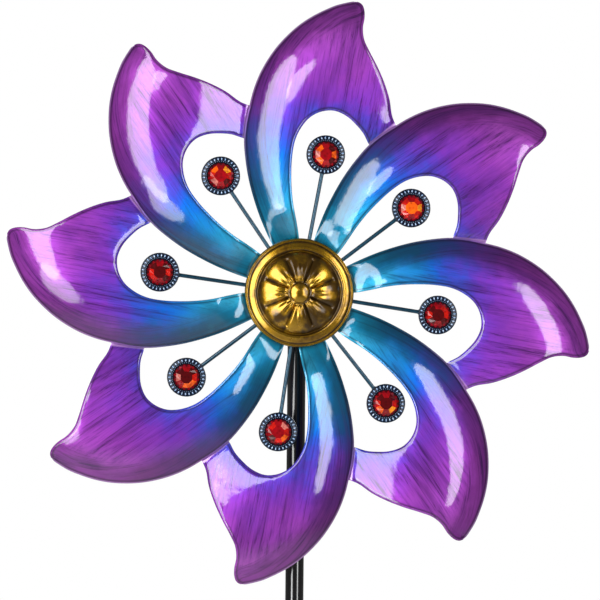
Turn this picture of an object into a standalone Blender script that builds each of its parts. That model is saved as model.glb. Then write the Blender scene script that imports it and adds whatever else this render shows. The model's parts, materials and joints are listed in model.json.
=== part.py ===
"""Garden wind spinner: an eight-petal jewelled wheel on a swivelling head, a pole and a ground fork.

Metres, +Z up. The origin is on the pole's axis at ground level, under the fork's cross bars, and the
wheel faces -Y. The wheel and the head's cross tube are modelled in the wheel's own frame, which is x to
the right, y up and z forward along the axle, and are placed by an empty at the hub.
"""

import math

import bmesh
import bpy
from mathutils import Vector

MM = 0.001
GAP = 0.3 * MM  # between pieces that touch

# ---------------------------------------------------------------- driving dimensions
HUB_HEIGHT = 1415 * MM
WHEEL_RADIUS = 305 * MM
PETAL_COUNT = 8
FIRST_TIP_DEG = 34.85
SHEET = 0.8 * MM

FIRST_JEWEL_DEG = 36.65
JEWEL_CIRCLE_RADIUS = 144.4 * MM
STEM_SPLAY_DEG = (1.0, -2.0, -2.2, 0.5, 0.7, 0.3, 2.0, -0.2)  # each stem is bent a little by hand
STEM_RADIUS = 2.0 * MM
STEM_ROOT_RADIUS = 14 * MM
BEZEL_SECTION = (  # (radius, height) in mm, from the back outwards and round to the jewel's seat
    (17.0, 0.0),
    (19.4, 0.7),
    (20.0, 1.8),
    (19.4, 3.2),
    (17.4, 4.2),
    (15.2, 4.2),
    (14.2, 3.5),
    (14.2, 1.9),
)
JEWEL_RADIUS = 13.6 * MM

CAP_SECTION = (  # (radius, height) in mm: over the outside from the middle, then back under the shell
    (3.0, 20.6),
    (8.6, 18.6),
    (11.2, 17.0),
    (16.0, 17.4),
    (28.0, 15.0),
    (40.0, 9.8),
    (47.0, 7.2),
    (51.2, 4.4),
    (54.4, 4.6),
    (56.0, 2.4),
    (55.6, 0.0),
    (54.4, 0.0),
    (54.0, 2.8),
    (51.2, 3.2),
    (39.6, 8.6),
    (27.6, 13.8),
    (12.0, 15.6),
)
CAP_BOSS_TOP = 15.4 * MM
CAP_BOSS_RADIUS = 8 * MM
PLATE_RADIUS = 50 * MM
PLATE_THICKNESS = 3 * MM

AXLE_RADIUS = 4 * MM
FLANGE_RADIUS = 20 * MM
FLANGE_THICKNESS = 4 * MM
HOUSING_RADIUS = 14 * MM
HOUSING_FRONT = 32 * MM  # along the axle, from the pole's axis
HOUSING_BACK = -24 * MM
BEARING_WIDTH = 7 * MM
BEARING_RADIUS = 11 * MM
BALL_RADIUS = 1.65 * MM
BALL_CIRCLE_RADIUS = 7.55 * MM
BALL_COUNT = 7

POLE_RADIUS = 9.5 * MM
POLE_BORE = 8.3 * MM
SWAGE_RADIUS = POLE_BORE - GAP
SWAGE_BORE = 6.8 * MM
SWAGE_LENGTH = 50 * MM
SPINDLE_RADIUS = 6 * MM
SPINDLE_LENGTH = 112 * MM
GROOVE_RADIUS = 4.4 * MM
BUSHING_LENGTH = 22 * MM
BUSHING_FLANGE = 2 * MM
BOLT_RADIUS = 2.5 * MM
BOLT_HEAD_RADIUS = 4.6 * MM
BOLT_NUT_HEIGHT = 4 * MM
AXLE_NUT_CORNER = 7.5 * MM
AXLE_NUT_HEIGHT = 6.5 * MM
WASHER_THICKNESS = 1.6 * MM
SCREW_RADIUS = 2.0 * MM

FORK_SPAN = 150 * MM
FORK_DEPTH = 185 * MM
FORK_BEND = 10 * MM
BAR_WIDTH = 16 * MM
BAR_THICKNESS = 4 * MM
POINT_WIDTH = 1.5 * MM
POINT_LENGTH = 32 * MM
POST_HEIGHT = 72 * MM

# ---------------------------------------------------------------- stations along the axle
FLANGE_BACK = HOUSING_FRONT + 2 * MM
PLATE_BACK = FLANGE_BACK + FLANGE_THICKNESS + GAP
PLATE_FRONT = PLATE_BACK + PLATE_THICKNESS
PETAL_PLANE = PLATE_FRONT + GAP + SHEET / 2
STEM_PLANE = PLATE_FRONT + GAP + STEM_RADIUS
BEZEL_BACK = STEM_PLANE + STEM_RADIUS + GAP
CAP_RIM = STEM_PLANE + STEM_RADIUS + 0.4 * MM
FRONT_RACE = HOUSING_FRONT - BEARING_WIDTH - GAP
REAR_RACE = HOUSING_BACK + GAP
WASHER_BACK = REAR_RACE - GAP - WASHER_THICKNESS
NUT_BACK = WASHER_BACK - GAP - AXLE_NUT_HEIGHT

# ---------------------------------------------------------------- stations up the pole
SOCKET_BOTTOM = HUB_HEIGHT - 17 * MM
COLLAR_BOTTOM = SOCKET_BOTTOM - GAP - 3 * MM
POLE_TOP = COLLAR_BOTTOM - BUSHING_FLANGE - 2 * GAP
SPINDLE_BOTTOM = SOCKET_BOTTOM - SPINDLE_LENGTH
BARS_TOP = 2 * BAR_THICKNESS + GAP
POLE_BOTTOM = BARS_TOP + GAP
SECTION = (POLE_TOP - POLE_BOTTOM) / 3
UPPER_JOINT = POLE_TOP - SECTION
LOWER_JOINT = UPPER_JOINT - SECTION
SCREW_HEIGHT = (COLLAR_BOTTOM + SPINDLE_BOTTOM) / 2
FORK_BOLT_HEIGHT = POLE_BOTTOM + 36 * MM

# A petal is skinned over ribs. Each rib is given by its end on the long curved edge and its inner end,
# both as (degrees from the petal's tip line, radius in mm). The leaf ribs' inner ends follow the teardrop
# opening up to the throat, cross the sheet to the hollow back edge, and follow that to the blunt tip.
LEAF_RIBS = (
    ((40.5, 38.0), (9.0, 38.0)),
    ((39.6, 58.0), (10.9, 58.0)),
    ((38.7, 73.0), (13.0, 73.0)),
    ((37.8, 88.0), (14.7, 88.0)),
    ((36.3, 107.0), (15.2, 105.0)),
    ((34.6, 127.0), (14.8, 123.0)),
    ((32.5, 148.0), (13.9, 141.0)),
    ((30.3, 168.0), (12.4, 157.0)),
    ((28.1, 183.0), (10.2, 169.5)),
    ((25.8, 197.0), (7.2, 180.5)),
    ((23.4, 213.0), (3.7, 187.2)),
    ((20.9, 228.0), (0.0, 190.0)),
    ((18.3, 241.7), (-1.3, 203.0)),
    ((15.7, 254.2), (-2.4, 216.5)),
    ((13.2, 264.9), (-3.5, 230.0)),
    ((10.9, 274.1), (-4.4, 243.5)),
    ((8.0, 284.1), (-5.3, 257.5)),
    ((5.2, 292.5), (-3.6, 267.0)),
    ((3.1, 298.4), (-2.7, 279.5)),
    ((2.1, 300.6), (-2.6, 290.0)),
    ((1.4, 302.1), (-2.2, 298.2)),
    ((0.9, 303.1), (-1.8, 301.9)),
    ((0.4, 304.1), (-1.3, 304.1)),
    ((0.0, 304.7), (-0.7, 305.0)),
)
THROAT_RIB = 11  # its inner end is where the wing starts on the opening
BACK_RIB = 16  # its inner end is where the wing starts on the back edge
# The wing's ribs run from the opening to the back edge. The last ends the tab, behind the next petal.
WING_RIBS = (
    ((-4.0, 188.0), (-8.3, 244.5)),
    ((-8.3, 182.0), (-11.3, 232.0)),
    ((-11.3, 176.8), (-14.3, 219.0)),
    ((-14.3, 169.5), (-17.3, 204.5)),
    ((-16.4, 165.5), (-20.5, 197.0)),
)
RIB_STATIONS = (0.0, 0.1, 0.25, 0.45, 0.7, 1.0)  # across a leaf rib, from the curved edge
# The sheet is pitched: it rises from the curved edge, ever less steeply, and falls again to the tab.
EDGE_SLOPE = 0.62
CREST_DISTANCE = 58 * MM  # from the curved edge, where the sheet is level
EDGE_LIFT = 3.2 * MM  # what the curved edge stands above the tab that passes behind it
FLAT_ROOT = 50 * MM  # inside this radius the sheet lies flat on the plate
FULL_PITCH = 88 * MM
FULL_LIFT = 150 * MM
FLAT_TAB = 5.4 * MM  # the tab's length that stays flat
TAB_STEP = 2.6 * MM  # the bend where the tab meets the wing
TAB_STEP_LENGTH = 4.5 * MM
WING_SLOPE = 0.31
BLEND = 2.2 * MM  # how softly the two slopes meet at the crest

ROUND = 32
FINE_ROUND = 24
BEZEL_ROUND = 18
COARSE_ROUND = 12
STEM_ROUND = 10
SHARP_ANGLE = math.radians(35)


# ---------------------------------------------------------------- materials
def material(name, color, roughness, metallic):
    made = bpy.data.materials.new(name)
    made.use_nodes = True
    shader = made.node_tree.nodes["Principled BSDF"]
    shader.inputs["Base Color"].default_value = (*color, 1.0)
    shader.inputs["Roughness"].default_value = roughness
    shader.inputs["Metallic"].default_value = metallic
    return made


# ---------------------------------------------------------------- mesh helpers
def add_object(name, bm, finish, parent=None, smooth=True):
    """Turns a bmesh into a named object whose faces point out."""
    bmesh.ops.recalc_face_normals(bm, faces=bm.faces)
    mesh = bpy.data.meshes.new(name)
    bm.to_mesh(mesh)
    bm.free()
    if smooth:
        mesh.shade_smooth()
        mesh.set_sharp_from_angle(angle=SHARP_ANGLE)
    mesh.materials.append(finish)
    made = bpy.data.objects.new(name, mesh)
    bpy.context.scene.collection.objects.link(made)
    made.parent = parent
    return made


def skin(bm, rings, closed=False):
    """Joins rings of equally many points, then joins the last ring to the first or caps both ends."""
    loops = [[bm.verts.new(point) for point in ring] for ring in rings]
    pairs = list(zip(loops, loops[1:]))
    if closed:
        pairs.append((loops[-1], loops[0]))
    else:
        bm.faces.new(loops[0])
        bm.faces.new(loops[-1])
    for low, high in pairs:
        for i in range(len(low)):
            j = (i + 1) % len(low)
            bm.faces.new((low[i], low[j], high[j], high[i]))


def circle(radius, height, sides, hexagonal=False):
    """A level ring of points; a hexagonal ring has its corners at the radius."""
    points = []
    for i in range(sides):
        angle = 2 * math.pi * i / sides
        reach = radius
        if hexagonal and i % 2:
            reach = radius * math.cos(math.pi / 6)
        points.append((reach * math.cos(angle), reach * math.sin(angle), height))
    return points


def turned(name, profile, sides, finish, parent=None, closed=False):
    """A solid turned about local Z from (radius, height) points. An open profile ends on flat caps."""
    bm = bmesh.new()
    skin(bm, [circle(r, h, sides) for r, h in profile], closed)
    return add_object(name, bm, finish, parent)


def boolean(target, tool, operation):
    """Cuts or joins with a tool that stays in the scene as a hidden guide."""
    tool.hide_render = True
    tool.display_type = "WIRE"
    step = target.modifiers.new(tool.name, "BOOLEAN")
    step.operation = operation
    step.solver = "EXACT"
    step.object = tool


def empty(name, location, rotation=(0, 0, 0)):
    made = bpy.data.objects.new(name, None)
    bpy.context.scene.collection.objects.link(made)
    made.location = location
    made.rotation_euler = rotation
    return made


def cross_cutter(name, radius, reach, height, finish):
    """A round guide along Y through the pole at a height."""
    tool = turned(name, [(radius, -reach), (radius, reach)], COARSE_ROUND, finish)
    tool.location = (0, 0, height)
    tool.rotation_euler = (math.pi / 2, 0, 0)
    return tool


# ---------------------------------------------------------------- petals
def polar(degrees, radius):
    angle = math.radians(degrees)
    return Vector((radius * MM * math.cos(angle), radius * MM * math.sin(angle), 0))


def distance(edge, point):
    """The distance from a point in the petal's plane to an edge of straight pieces."""
    best = math.inf
    for start, end in zip(edge, edge[1:]):
        run = end - start
        share = max(0.0, min(1.0, (point - start).dot(run) / run.length_squared))
        best = min(best, (point - start - run * share).length)
    return best


def ease(share):
    share = max(0.0, min(1.0, share))
    return share * share * (3 - 2 * share)


def pitched(point, curved_edge, tab_end):
    """Lifts a point of the flat outline onto the pitched sheet."""
    radius = point.length
    inward = min(distance(curved_edge, point), CREST_DISTANCE)
    rise = EDGE_SLOPE * (inward - inward**2 / (2 * CREST_DISTANCE))
    rise *= ease((radius - FLAT_ROOT) / (FULL_PITCH - FLAT_ROOT))
    rise += EDGE_LIFT * ease((radius - FLAT_ROOT) / (FULL_LIFT - FLAT_ROOT))
    from_tab = distance(tab_end, point)
    fall = TAB_STEP * ease((from_tab - FLAT_TAB) / TAB_STEP_LENGTH)
    fall += WING_SLOPE * max(0.0, from_tab - FLAT_TAB - TAB_STEP_LENGTH / 2)
    height = -BLEND * math.log(math.exp(-rise / BLEND) + math.exp(-fall / BLEND))
    return Vector((point.x, point.y, max(0.0, height)))


def petal_mesh(finish):
    leaf = [(polar(*curved), polar(*inner)) for curved, inner in LEAF_RIBS]
    wing = [(polar(*opening), polar(*back)) for opening, back in WING_RIBS]
    scale = WHEEL_RADIUS / leaf[-1][1].length
    curved_edge = [rib[0] for rib in leaf]
    tab_end = list(wing[-1])
    bm = bmesh.new()

    def row(start, end, shares):
        points = [pitched(start.lerp(end, share), curved_edge, tab_end) for share in shares]
        return [bm.verts.new(point * scale) for point in points]

    leaf_rows = [row(start, end, RIB_STATIONS) for start, end in leaf]
    steps = BACK_RIB - THROAT_RIB
    wing_rows = [[made[-1] for made in leaf_rows[THROAT_RIB : BACK_RIB + 1]]]
    wing_rows += [row(start, end, [i / steps for i in range(steps + 1)]) for start, end in wing]
    for rows in (leaf_rows, wing_rows):
        for low, high in zip(rows, rows[1:]):
            for j in range(len(low) - 1):
                bm.faces.new((low[j + 1], low[j], high[j], high[j + 1]))
    bmesh.ops.recalc_face_normals(bm, faces=bm.faces)
    mesh = bpy.data.meshes.new("petal")
    bm.to_mesh(mesh)
    bm.free()
    mesh.shade_smooth()
    mesh.materials.append(finish)
    return mesh


def make_petals(hub, finish):
    mesh = petal_mesh(finish)
    for k in range(PETAL_COUNT):
        petal = bpy.data.objects.new(f"petal_{k + 1}", mesh)
        bpy.context.scene.collection.objects.link(petal)
        petal.parent = hub
        petal.location = (0, 0, PETAL_PLANE)
        petal.rotation_euler = (0, 0, math.radians(FIRST_TIP_DEG) + k * 2 * math.pi / PETAL_COUNT)
        sheet = petal.modifiers.new("sheet", "SOLIDIFY")
        sheet.thickness = SHEET
        sheet.offset = 0
        diagonals = petal.modifiers.new("diagonals", "TRIANGULATE")
        diagonals.quad_method = "SHORTEST_DIAGONAL"


# ---------------------------------------------------------------- stems, bezels and jewels
def make_jewel_stems(hub, wire, enamel, gem):
    bezel_profile = [(r * MM, h * MM) for r, h in BEZEL_SECTION]
    jewel_back = BEZEL_BACK + bezel_profile[-1][1] + GAP
    for k in range(PETAL_COUNT):
        turn = math.radians(FIRST_JEWEL_DEG + STEM_SPLAY_DEG[k]) + k * 2 * math.pi / PETAL_COUNT
        place = Vector((math.cos(turn), math.sin(turn), 0))
        length = JEWEL_CIRCLE_RADIUS - 3 * MM - STEM_ROOT_RADIUS
        stem = turned(f"stem_{k + 1}", [(STEM_RADIUS, 0), (STEM_RADIUS, length)], STEM_ROUND, wire, hub)
        stem.location = place * STEM_ROOT_RADIUS + Vector((0, 0, STEM_PLANE))
        stem.rotation_euler = (0, math.pi / 2, turn)
        bezel = turned(f"bezel_{k + 1}", bezel_profile, BEZEL_ROUND, enamel, hub)
        bezel.location = place * JEWEL_CIRCLE_RADIUS + Vector((0, 0, BEZEL_BACK))
        jewel = cut_gem(f"jewel_{k + 1}", gem, hub)
        jewel.location = place * JEWEL_CIRCLE_RADIUS + Vector((0, 0, jewel_back))
        jewel.rotation_euler = (0, 0, turn)


def cut_gem(name, finish, parent):
    """A gem with a twelve-sided girdle, two tiers of facets and a flat table."""
    sides = COARSE_ROUND
    half_step = math.pi / sides
    tiers = [(JEWEL_RADIUS, 0, 0), (JEWEL_RADIUS, 1.2, 0), (10.4 * MM, 4.6, 1), (6.6 * MM, 6.6, 0)]
    rings = []
    for radius, height, shifted in tiers:
        ring = circle(radius, height * MM, sides)
        turn = half_step * shifted
        rings.append(
            [
                (x * math.cos(turn) - y * math.sin(turn), x * math.sin(turn) + y * math.cos(turn), z)
                for x, y, z in ring
            ]
        )
    bm = bmesh.new()
    skin(bm, rings)
    return add_object(name, bm, finish, parent, smooth=False)


# ---------------------------------------------------------------- hub
def make_hub(hub, gold, steel):
    """The stamped cap with its threaded boss, and the plate that petals and stems are welded to."""
    profile = [(r * MM, CAP_RIM + h * MM) for r, h in CAP_SECTION]
    boss_back = PLATE_FRONT + GAP
    axle_front = CAP_RIM + 9 * MM
    profile += [
        (CAP_BOSS_RADIUS, CAP_RIM + CAP_BOSS_TOP),
        (CAP_BOSS_RADIUS, boss_back),
        (AXLE_RADIUS + GAP, boss_back),
        (AXLE_RADIUS + GAP, axle_front + GAP),
    ]
    turned("hub_cap", profile, ROUND, gold, hub)
    bore = AXLE_RADIUS + GAP
    plate = [
        (bore, PLATE_BACK),
        (PLATE_RADIUS, PLATE_BACK),
        (PLATE_RADIUS, PLATE_FRONT),
        (bore, PLATE_FRONT),
    ]
    turned("hub_plate", plate, ROUND, steel, hub, closed=True)
    return axle_front


def make_axle(hub, axle_front, steel, zinc):
    """The axle with the shoulder that seats the front race and the flange that carries the plate."""
    shoulder = AXLE_RADIUS + 2.2 * MM
    profile = [
        (AXLE_RADIUS - 0.6 * MM, NUT_BACK - 3 * MM),
        (AXLE_RADIUS, NUT_BACK - 2.4 * MM),
        (AXLE_RADIUS, FRONT_RACE + BEARING_WIDTH + GAP),
        (shoulder, FRONT_RACE + BEARING_WIDTH + GAP),
        (shoulder, FLANGE_BACK),
        (FLANGE_RADIUS, FLANGE_BACK),
        (FLANGE_RADIUS, FLANGE_BACK + FLANGE_THICKNESS),
        (AXLE_RADIUS, FLANGE_BACK + FLANGE_THICKNESS),
        (AXLE_RADIUS, axle_front),
    ]
    turned("axle", profile, FINE_ROUND, steel, hub)
    bore = AXLE_RADIUS + GAP
    sleeve_low = REAR_RACE + BEARING_WIDTH + GAP
    sleeve_high = FRONT_RACE - GAP
    sleeve = AXLE_RADIUS + 2 * MM
    ring_solid("bearing_spacer", bore, sleeve, sleeve_low, sleeve_high, zinc, hub)
    ring_solid("axle_washer", bore, sleeve, WASHER_BACK, REAR_RACE - GAP, zinc, hub)
    nut("axle_nut", bore, AXLE_NUT_CORNER, NUT_BACK, WASHER_BACK - GAP, zinc, hub)


def ring_solid(name, bore, radius, low, high, finish, parent=None):
    profile = [(bore, low), (radius, low), (radius, high), (bore, high)]
    return turned(name, profile, FINE_ROUND, finish, parent, closed=True)


def nut(name, bore, corner, low, high, finish, parent=None):
    bm = bmesh.new()
    rings = [
        circle(bore, low, COARSE_ROUND),
        circle(corner, low, COARSE_ROUND, hexagonal=True),
        circle(corner, high, COARSE_ROUND, hexagonal=True),
        circle(bore, high, COARSE_ROUND),
    ]
    skin(bm, rings, closed=True)
    return add_object(name, bm, finish, parent)


# ---------------------------------------------------------------- bearings
def make_bearing(where, back, head, hub, chrome, brass):
    """Grooved races with a cage that carries its balls between them."""
    bore = AXLE_RADIUS + GAP
    land = 1.6 * MM
    floor = 3.0 * MM
    groove = BALL_RADIUS + GAP
    lip = 0.8 * MM
    inner_floor = BALL_CIRCLE_RADIUS - groove
    outer_floor = BALL_CIRCLE_RADIUS + groove
    width = BEARING_WIDTH
    inner = [
        (bore, 0),
        (inner_floor + lip, 0),
        (inner_floor + lip, land),
        (inner_floor, floor),
        (inner_floor, width - floor),
        (inner_floor + lip, width - land),
        (inner_floor + lip, width),
        (bore, width),
    ]
    outer = [
        (outer_floor - lip, 0),
        (BEARING_RADIUS, 0),
        (BEARING_RADIUS, width),
        (outer_floor - lip, width),
        (outer_floor - lip, width - land),
        (outer_floor, width - floor),
        (outer_floor, floor),
        (outer_floor - lip, land),
    ]
    for name, profile, parent in ((f"inner_race_{where}", inner, hub), (f"outer_race_{where}", outer, head)):
        placed = [(r, back + h) for r, h in profile]
        turned(name, placed, FINE_ROUND, chrome, parent, closed=True)
    middle = back + width / 2
    web = 0.55 * MM
    rib = 0.9 * MM
    low, high = BALL_CIRCLE_RADIUS - web, BALL_CIRCLE_RADIUS + web
    cage = ring_solid(f"ball_cage_{where}", low, high, middle - rib, middle + rib, brass, head)
    for i in range(BALL_COUNT):
        turn = 2 * math.pi * (i + 0.13) / BALL_COUNT
        bm = bmesh.new()
        bmesh.ops.create_icosphere(bm, subdivisions=1, radius=BALL_RADIUS)
        ball = add_object(f"{where}_ball_{i + 1}", bm, chrome, head)
        ball.location = (BALL_CIRCLE_RADIUS * math.cos(turn), BALL_CIRCLE_RADIUS * math.sin(turn), middle)
        boolean(cage, ball, "UNION")


# ---------------------------------------------------------------- head
def make_head(head, black, steel):
    """The cross tube with its bearing seats and spindle socket, and the swivel spindle below it."""
    seat = BEARING_RADIUS + GAP
    through = BEARING_RADIUS - 2 * MM
    seat_depth = BEARING_WIDTH + 2 * GAP
    profile = [
        (seat, HOUSING_BACK),
        (HOUSING_RADIUS, HOUSING_BACK),
        (HOUSING_RADIUS, HOUSING_FRONT),
        (seat, HOUSING_FRONT),
        (seat, HOUSING_FRONT - seat_depth),
        (through, HOUSING_FRONT - seat_depth),
        (through, HOUSING_BACK + seat_depth),
        (seat, HOUSING_BACK + seat_depth),
    ]
    housing = turned("bearing_housing", profile, ROUND, black, head, closed=True)
    socket_top = HUB_HEIGHT - HOUSING_RADIUS + 3 * MM
    spindle_top = socket_top - 2 * MM
    wall = SPINDLE_RADIUS + GAP
    socket = turned(
        "spindle_socket",
        [(9 * MM, SOCKET_BOTTOM), (9 * MM, socket_top)],
        FINE_ROUND,
        black,
    )
    hole = turned(
        "spindle_socket_hole",
        [(wall, SOCKET_BOTTOM - 1 * MM), (wall, spindle_top + GAP)],
        FINE_ROUND,
        black,
    )
    boolean(housing, socket, "UNION")
    boolean(housing, hole, "DIFFERENCE")
    groove = 3 * MM
    chamfer = 1 * MM
    turned(
        "swivel_spindle",
        [
            (SPINDLE_RADIUS - chamfer, SPINDLE_BOTTOM),
            (SPINDLE_RADIUS, SPINDLE_BOTTOM + chamfer),
            (SPINDLE_RADIUS, SCREW_HEIGHT - groove),
            (GROOVE_RADIUS, SCREW_HEIGHT - groove),
            (GROOVE_RADIUS, SCREW_HEIGHT + groove),
            (SPINDLE_RADIUS, SCREW_HEIGHT + groove),
            (SPINDLE_RADIUS, COLLAR_BOTTOM),
            (9 * MM, COLLAR_BOTTOM),
            (9 * MM, SOCKET_BOTTOM - GAP),
            (SPINDLE_RADIUS, SOCKET_BOTTOM - GAP),
            (SPINDLE_RADIUS, spindle_top),
        ],
        FINE_ROUND,
        steel,
    )


# ---------------------------------------------------------------- pole
def make_bushings(nylon):
    bore = SPINDLE_RADIUS + GAP
    body = POLE_BORE - GAP
    flange_low = POLE_TOP + GAP
    flange_high = flange_low + BUSHING_FLANGE - GAP
    turned(
        "top_bushing",
        [
            (bore, flange_high - BUSHING_LENGTH),
            (body, flange_high - BUSHING_LENGTH),
            (body, flange_low),
            (POLE_RADIUS, flange_low),
            (POLE_RADIUS, flange_high),
            (bore, flange_high),
        ],
        FINE_ROUND,
        nylon,
        closed=True,
    )
    low = SPINDLE_BOTTOM + 3 * MM
    ring_solid("bottom_bushing", bore, body, low, low + BUSHING_LENGTH, nylon)


def pole_section(name, bottom, top, swaged, black):
    """A tube whose top end is swaged down to enter the section above, where one follows."""
    profile = [(POLE_BORE, bottom), (POLE_RADIUS, bottom)]
    if swaged:
        shoulder = top - GAP
        neck = shoulder - 4 * MM
        profile += [
            (POLE_RADIUS, shoulder),
            (SWAGE_RADIUS, shoulder),
            (SWAGE_RADIUS, shoulder + SWAGE_LENGTH),
            (SWAGE_BORE, shoulder + SWAGE_LENGTH),
            (SWAGE_BORE, shoulder),
            (POLE_BORE, neck),
        ]
    else:
        profile += [(POLE_RADIUS, top), (POLE_BORE, top)]
    return turned(name, profile, ROUND, black, closed=True)


def make_pole(black, zinc):
    upper = pole_section("upper_pole", UPPER_JOINT, POLE_TOP, False, black)
    middle = pole_section("middle_pole", LOWER_JOINT, UPPER_JOINT, True, black)
    lower = pole_section("lower_pole", POLE_BOTTOM, LOWER_JOINT, True, black)
    reach = POLE_RADIUS + 5 * MM
    hole = BOLT_RADIUS + GAP
    for name, joint, above, below in (
        ("upper", UPPER_JOINT, upper, middle),
        ("lower", LOWER_JOINT, middle, lower),
    ):
        height = joint + SWAGE_LENGTH / 2
        cutter = cross_cutter(f"{name}_joint_hole", hole, reach, height, black)
        boolean(above, cutter, "DIFFERENCE")
        boolean(below, cutter, "DIFFERENCE")
        joint_bolt(name, height, zinc)
    retaining_screw(upper, black, zinc)
    return lower


def joint_bolt(name, height, zinc):
    """A round-headed bolt through the pole from the front, with its nut behind."""
    head_low = POLE_RADIUS + GAP
    nut_low = POLE_RADIUS + GAP
    nut_high = nut_low + BOLT_NUT_HEIGHT
    profile = [
        (BOLT_RADIUS, -nut_high - 1.5 * MM),
        (BOLT_RADIUS, head_low),
        (BOLT_HEAD_RADIUS, head_low),
        (BOLT_HEAD_RADIUS, head_low + 1.2 * MM),
        (3.0 * MM, head_low + 2.8 * MM),
    ]
    bolt = turned(f"{name}_joint_bolt", profile, COARSE_ROUND, zinc)
    fixed = nut(f"{name}_joint_nut", BOLT_RADIUS + GAP, BOLT_HEAD_RADIUS, -nut_high, -nut_low, zinc)
    for piece in (bolt, fixed):
        piece.location = (0, 0, height)
        piece.rotation_euler = (math.pi / 2, 0, 0)


def retaining_screw(upper, black, zinc):
    """Its tip runs in the spindle's groove and keeps the head on the pole. It enters from behind."""
    cutter = turned(
        "retaining_screw_hole",
        [(SCREW_RADIUS + GAP, 6.5 * MM), (SCREW_RADIUS + GAP, POLE_RADIUS + 2 * MM)],
        COARSE_ROUND,
        black,
    )
    screw = turned(
        "retaining_screw",
        [
            (SCREW_RADIUS, GROOVE_RADIUS + 2 * GAP),
            (SCREW_RADIUS, POLE_RADIUS + GAP),
            (3.8 * MM, POLE_RADIUS + GAP),
            (3.8 * MM, POLE_RADIUS + 1.8 * MM),
            (2.4 * MM, POLE_RADIUS + 2.8 * MM),
        ],
        COARSE_ROUND,
        zinc,
    )
    for piece in (cutter, screw):
        piece.location = (0, 0, SCREW_HEIGHT)
        piece.rotation_euler = (-math.pi / 2, 0, 0)
    boolean(upper, cutter, "DIFFERENCE")


# ---------------------------------------------------------------- ground fork
def fork_bar(name, top, turn, black):
    """A flat bar bent down at both ends into pointed prongs, laid out from one point to the other."""
    middle = top - BAR_THICKNESS / 2
    half_span = FORK_SPAN / 2
    half_thick = BAR_THICKNESS / 2
    side = []
    for width, height in ((POINT_WIDTH, -FORK_DEPTH), (BAR_WIDTH, POINT_LENGTH - FORK_DEPTH)):
        side.append((Vector((half_span, 0, height)), Vector((1, 0, 0)), width))
    centre = Vector((half_span - FORK_BEND, 0, middle - FORK_BEND))
    bend_steps = 4
    for i in range(bend_steps + 1):
        angle = math.pi / 2 * i / bend_steps
        out = Vector((math.cos(angle), 0, math.sin(angle)))
        side.append((centre + out * FORK_BEND, out, BAR_WIDTH))
    other = [(Vector((-p.x, 0, p.z)), Vector((-n.x, 0, n.z)), w) for p, n, w in reversed(side)]
    rings = []
    for point, out, width in side + other:
        edge = Vector((0, width / 2, 0))
        rings.append(
            [
                point + out * half_thick + edge,
                point + out * half_thick - edge,
                point - out * half_thick - edge,
                point - out * half_thick + edge,
            ]
        )
    bm = bmesh.new()
    skin(bm, rings)
    bar = add_object(name, bm, black, smooth=False)
    bar.rotation_euler = (0, 0, turn)
    return bar


def make_ground_fork(lower_pole, black, zinc):
    fork_bar("fork_bar_side_to_side", BAR_THICKNESS, 0, black)
    fork_bar("fork_bar_front_to_back", BARS_TOP, math.pi / 2, black)
    post_low = BARS_TOP + GAP
    radius = POLE_BORE - GAP
    post = ring_solid("fork_post", radius - 1.5 * MM, radius, post_low, post_low + POST_HEIGHT, black)
    hole = BOLT_RADIUS + GAP
    cutter = turned("fork_bolt_hole", [(hole, 5 * MM), (hole, POLE_RADIUS + 2 * MM)], COARSE_ROUND, black)
    bolt = turned(
        "fork_bolt",
        [
            (BOLT_RADIUS, 4.5 * MM),
            (BOLT_RADIUS, POLE_RADIUS + GAP),
            (BOLT_HEAD_RADIUS, POLE_RADIUS + GAP),
            (BOLT_HEAD_RADIUS, POLE_RADIUS + 1.8 * MM),
            (3.0 * MM, POLE_RADIUS + 3.2 * MM),
        ],
        COARSE_ROUND,
        zinc,
    )
    for piece in (cutter, bolt):
        piece.location = (0, 0, FORK_BOLT_HEIGHT)
        piece.rotation_euler = (-math.pi / 2, 0, 0)
    boolean(lower_pole, cutter, "DIFFERENCE")
    boolean(post, cutter, "DIFFERENCE")


def build():
    for old in list(bpy.data.objects):
        bpy.data.objects.remove(old)
    petal_paint = material("petal_paint", (0.22, 0.06, 0.55), 0.25, 0.8)
    stem_paint = material("stem_paint", (0.02, 0.12, 0.20), 0.35, 0.6)
    bezel_enamel = material("bezel_enamel", (0.03, 0.10, 0.22), 0.35, 0.6)
    red_gem = material("red_gem", (0.55, 0.02, 0.01), 0.08, 0.0)
    gold = material("gold", (0.70, 0.50, 0.06), 0.30, 1.0)
    steel = material("steel", (0.45, 0.45, 0.47), 0.35, 1.0)
    zinc = material("zinc", (0.60, 0.60, 0.62), 0.40, 1.0)
    chrome = material("bearing_steel", (0.75, 0.75, 0.77), 0.15, 1.0)
    brass = material("brass", (0.60, 0.45, 0.18), 0.35, 1.0)
    black = material("black_enamel", (0.012, 0.012, 0.014), 0.18, 0.0)
    nylon = material("nylon", (0.80, 0.79, 0.74), 0.50, 0.0)

    upright = (math.pi / 2, 0, 0)
    hub = empty("wheel_axis", (0, 0, HUB_HEIGHT), upright)
    head = empty("head_axis", (0, 0, HUB_HEIGHT), upright)
    make_petals(hub, petal_paint)
    make_jewel_stems(hub, stem_paint, bezel_enamel, red_gem)
    axle_front = make_hub(hub, gold, steel)
    make_axle(hub, axle_front, steel, zinc)
    make_bearing("front", FRONT_RACE, head, hub, chrome, brass)
    make_bearing("rear", REAR_RACE, head, hub, chrome, brass)
    make_head(head, black, steel)
    make_bushings(nylon)
    lower_pole = make_pole(black, zinc)
    make_ground_fork(lower_pole, black, zinc)


build()
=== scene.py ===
import json
import math
import random

import bmesh
import bpy
import numpy as np
from mathutils import Matrix, Vector


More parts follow.
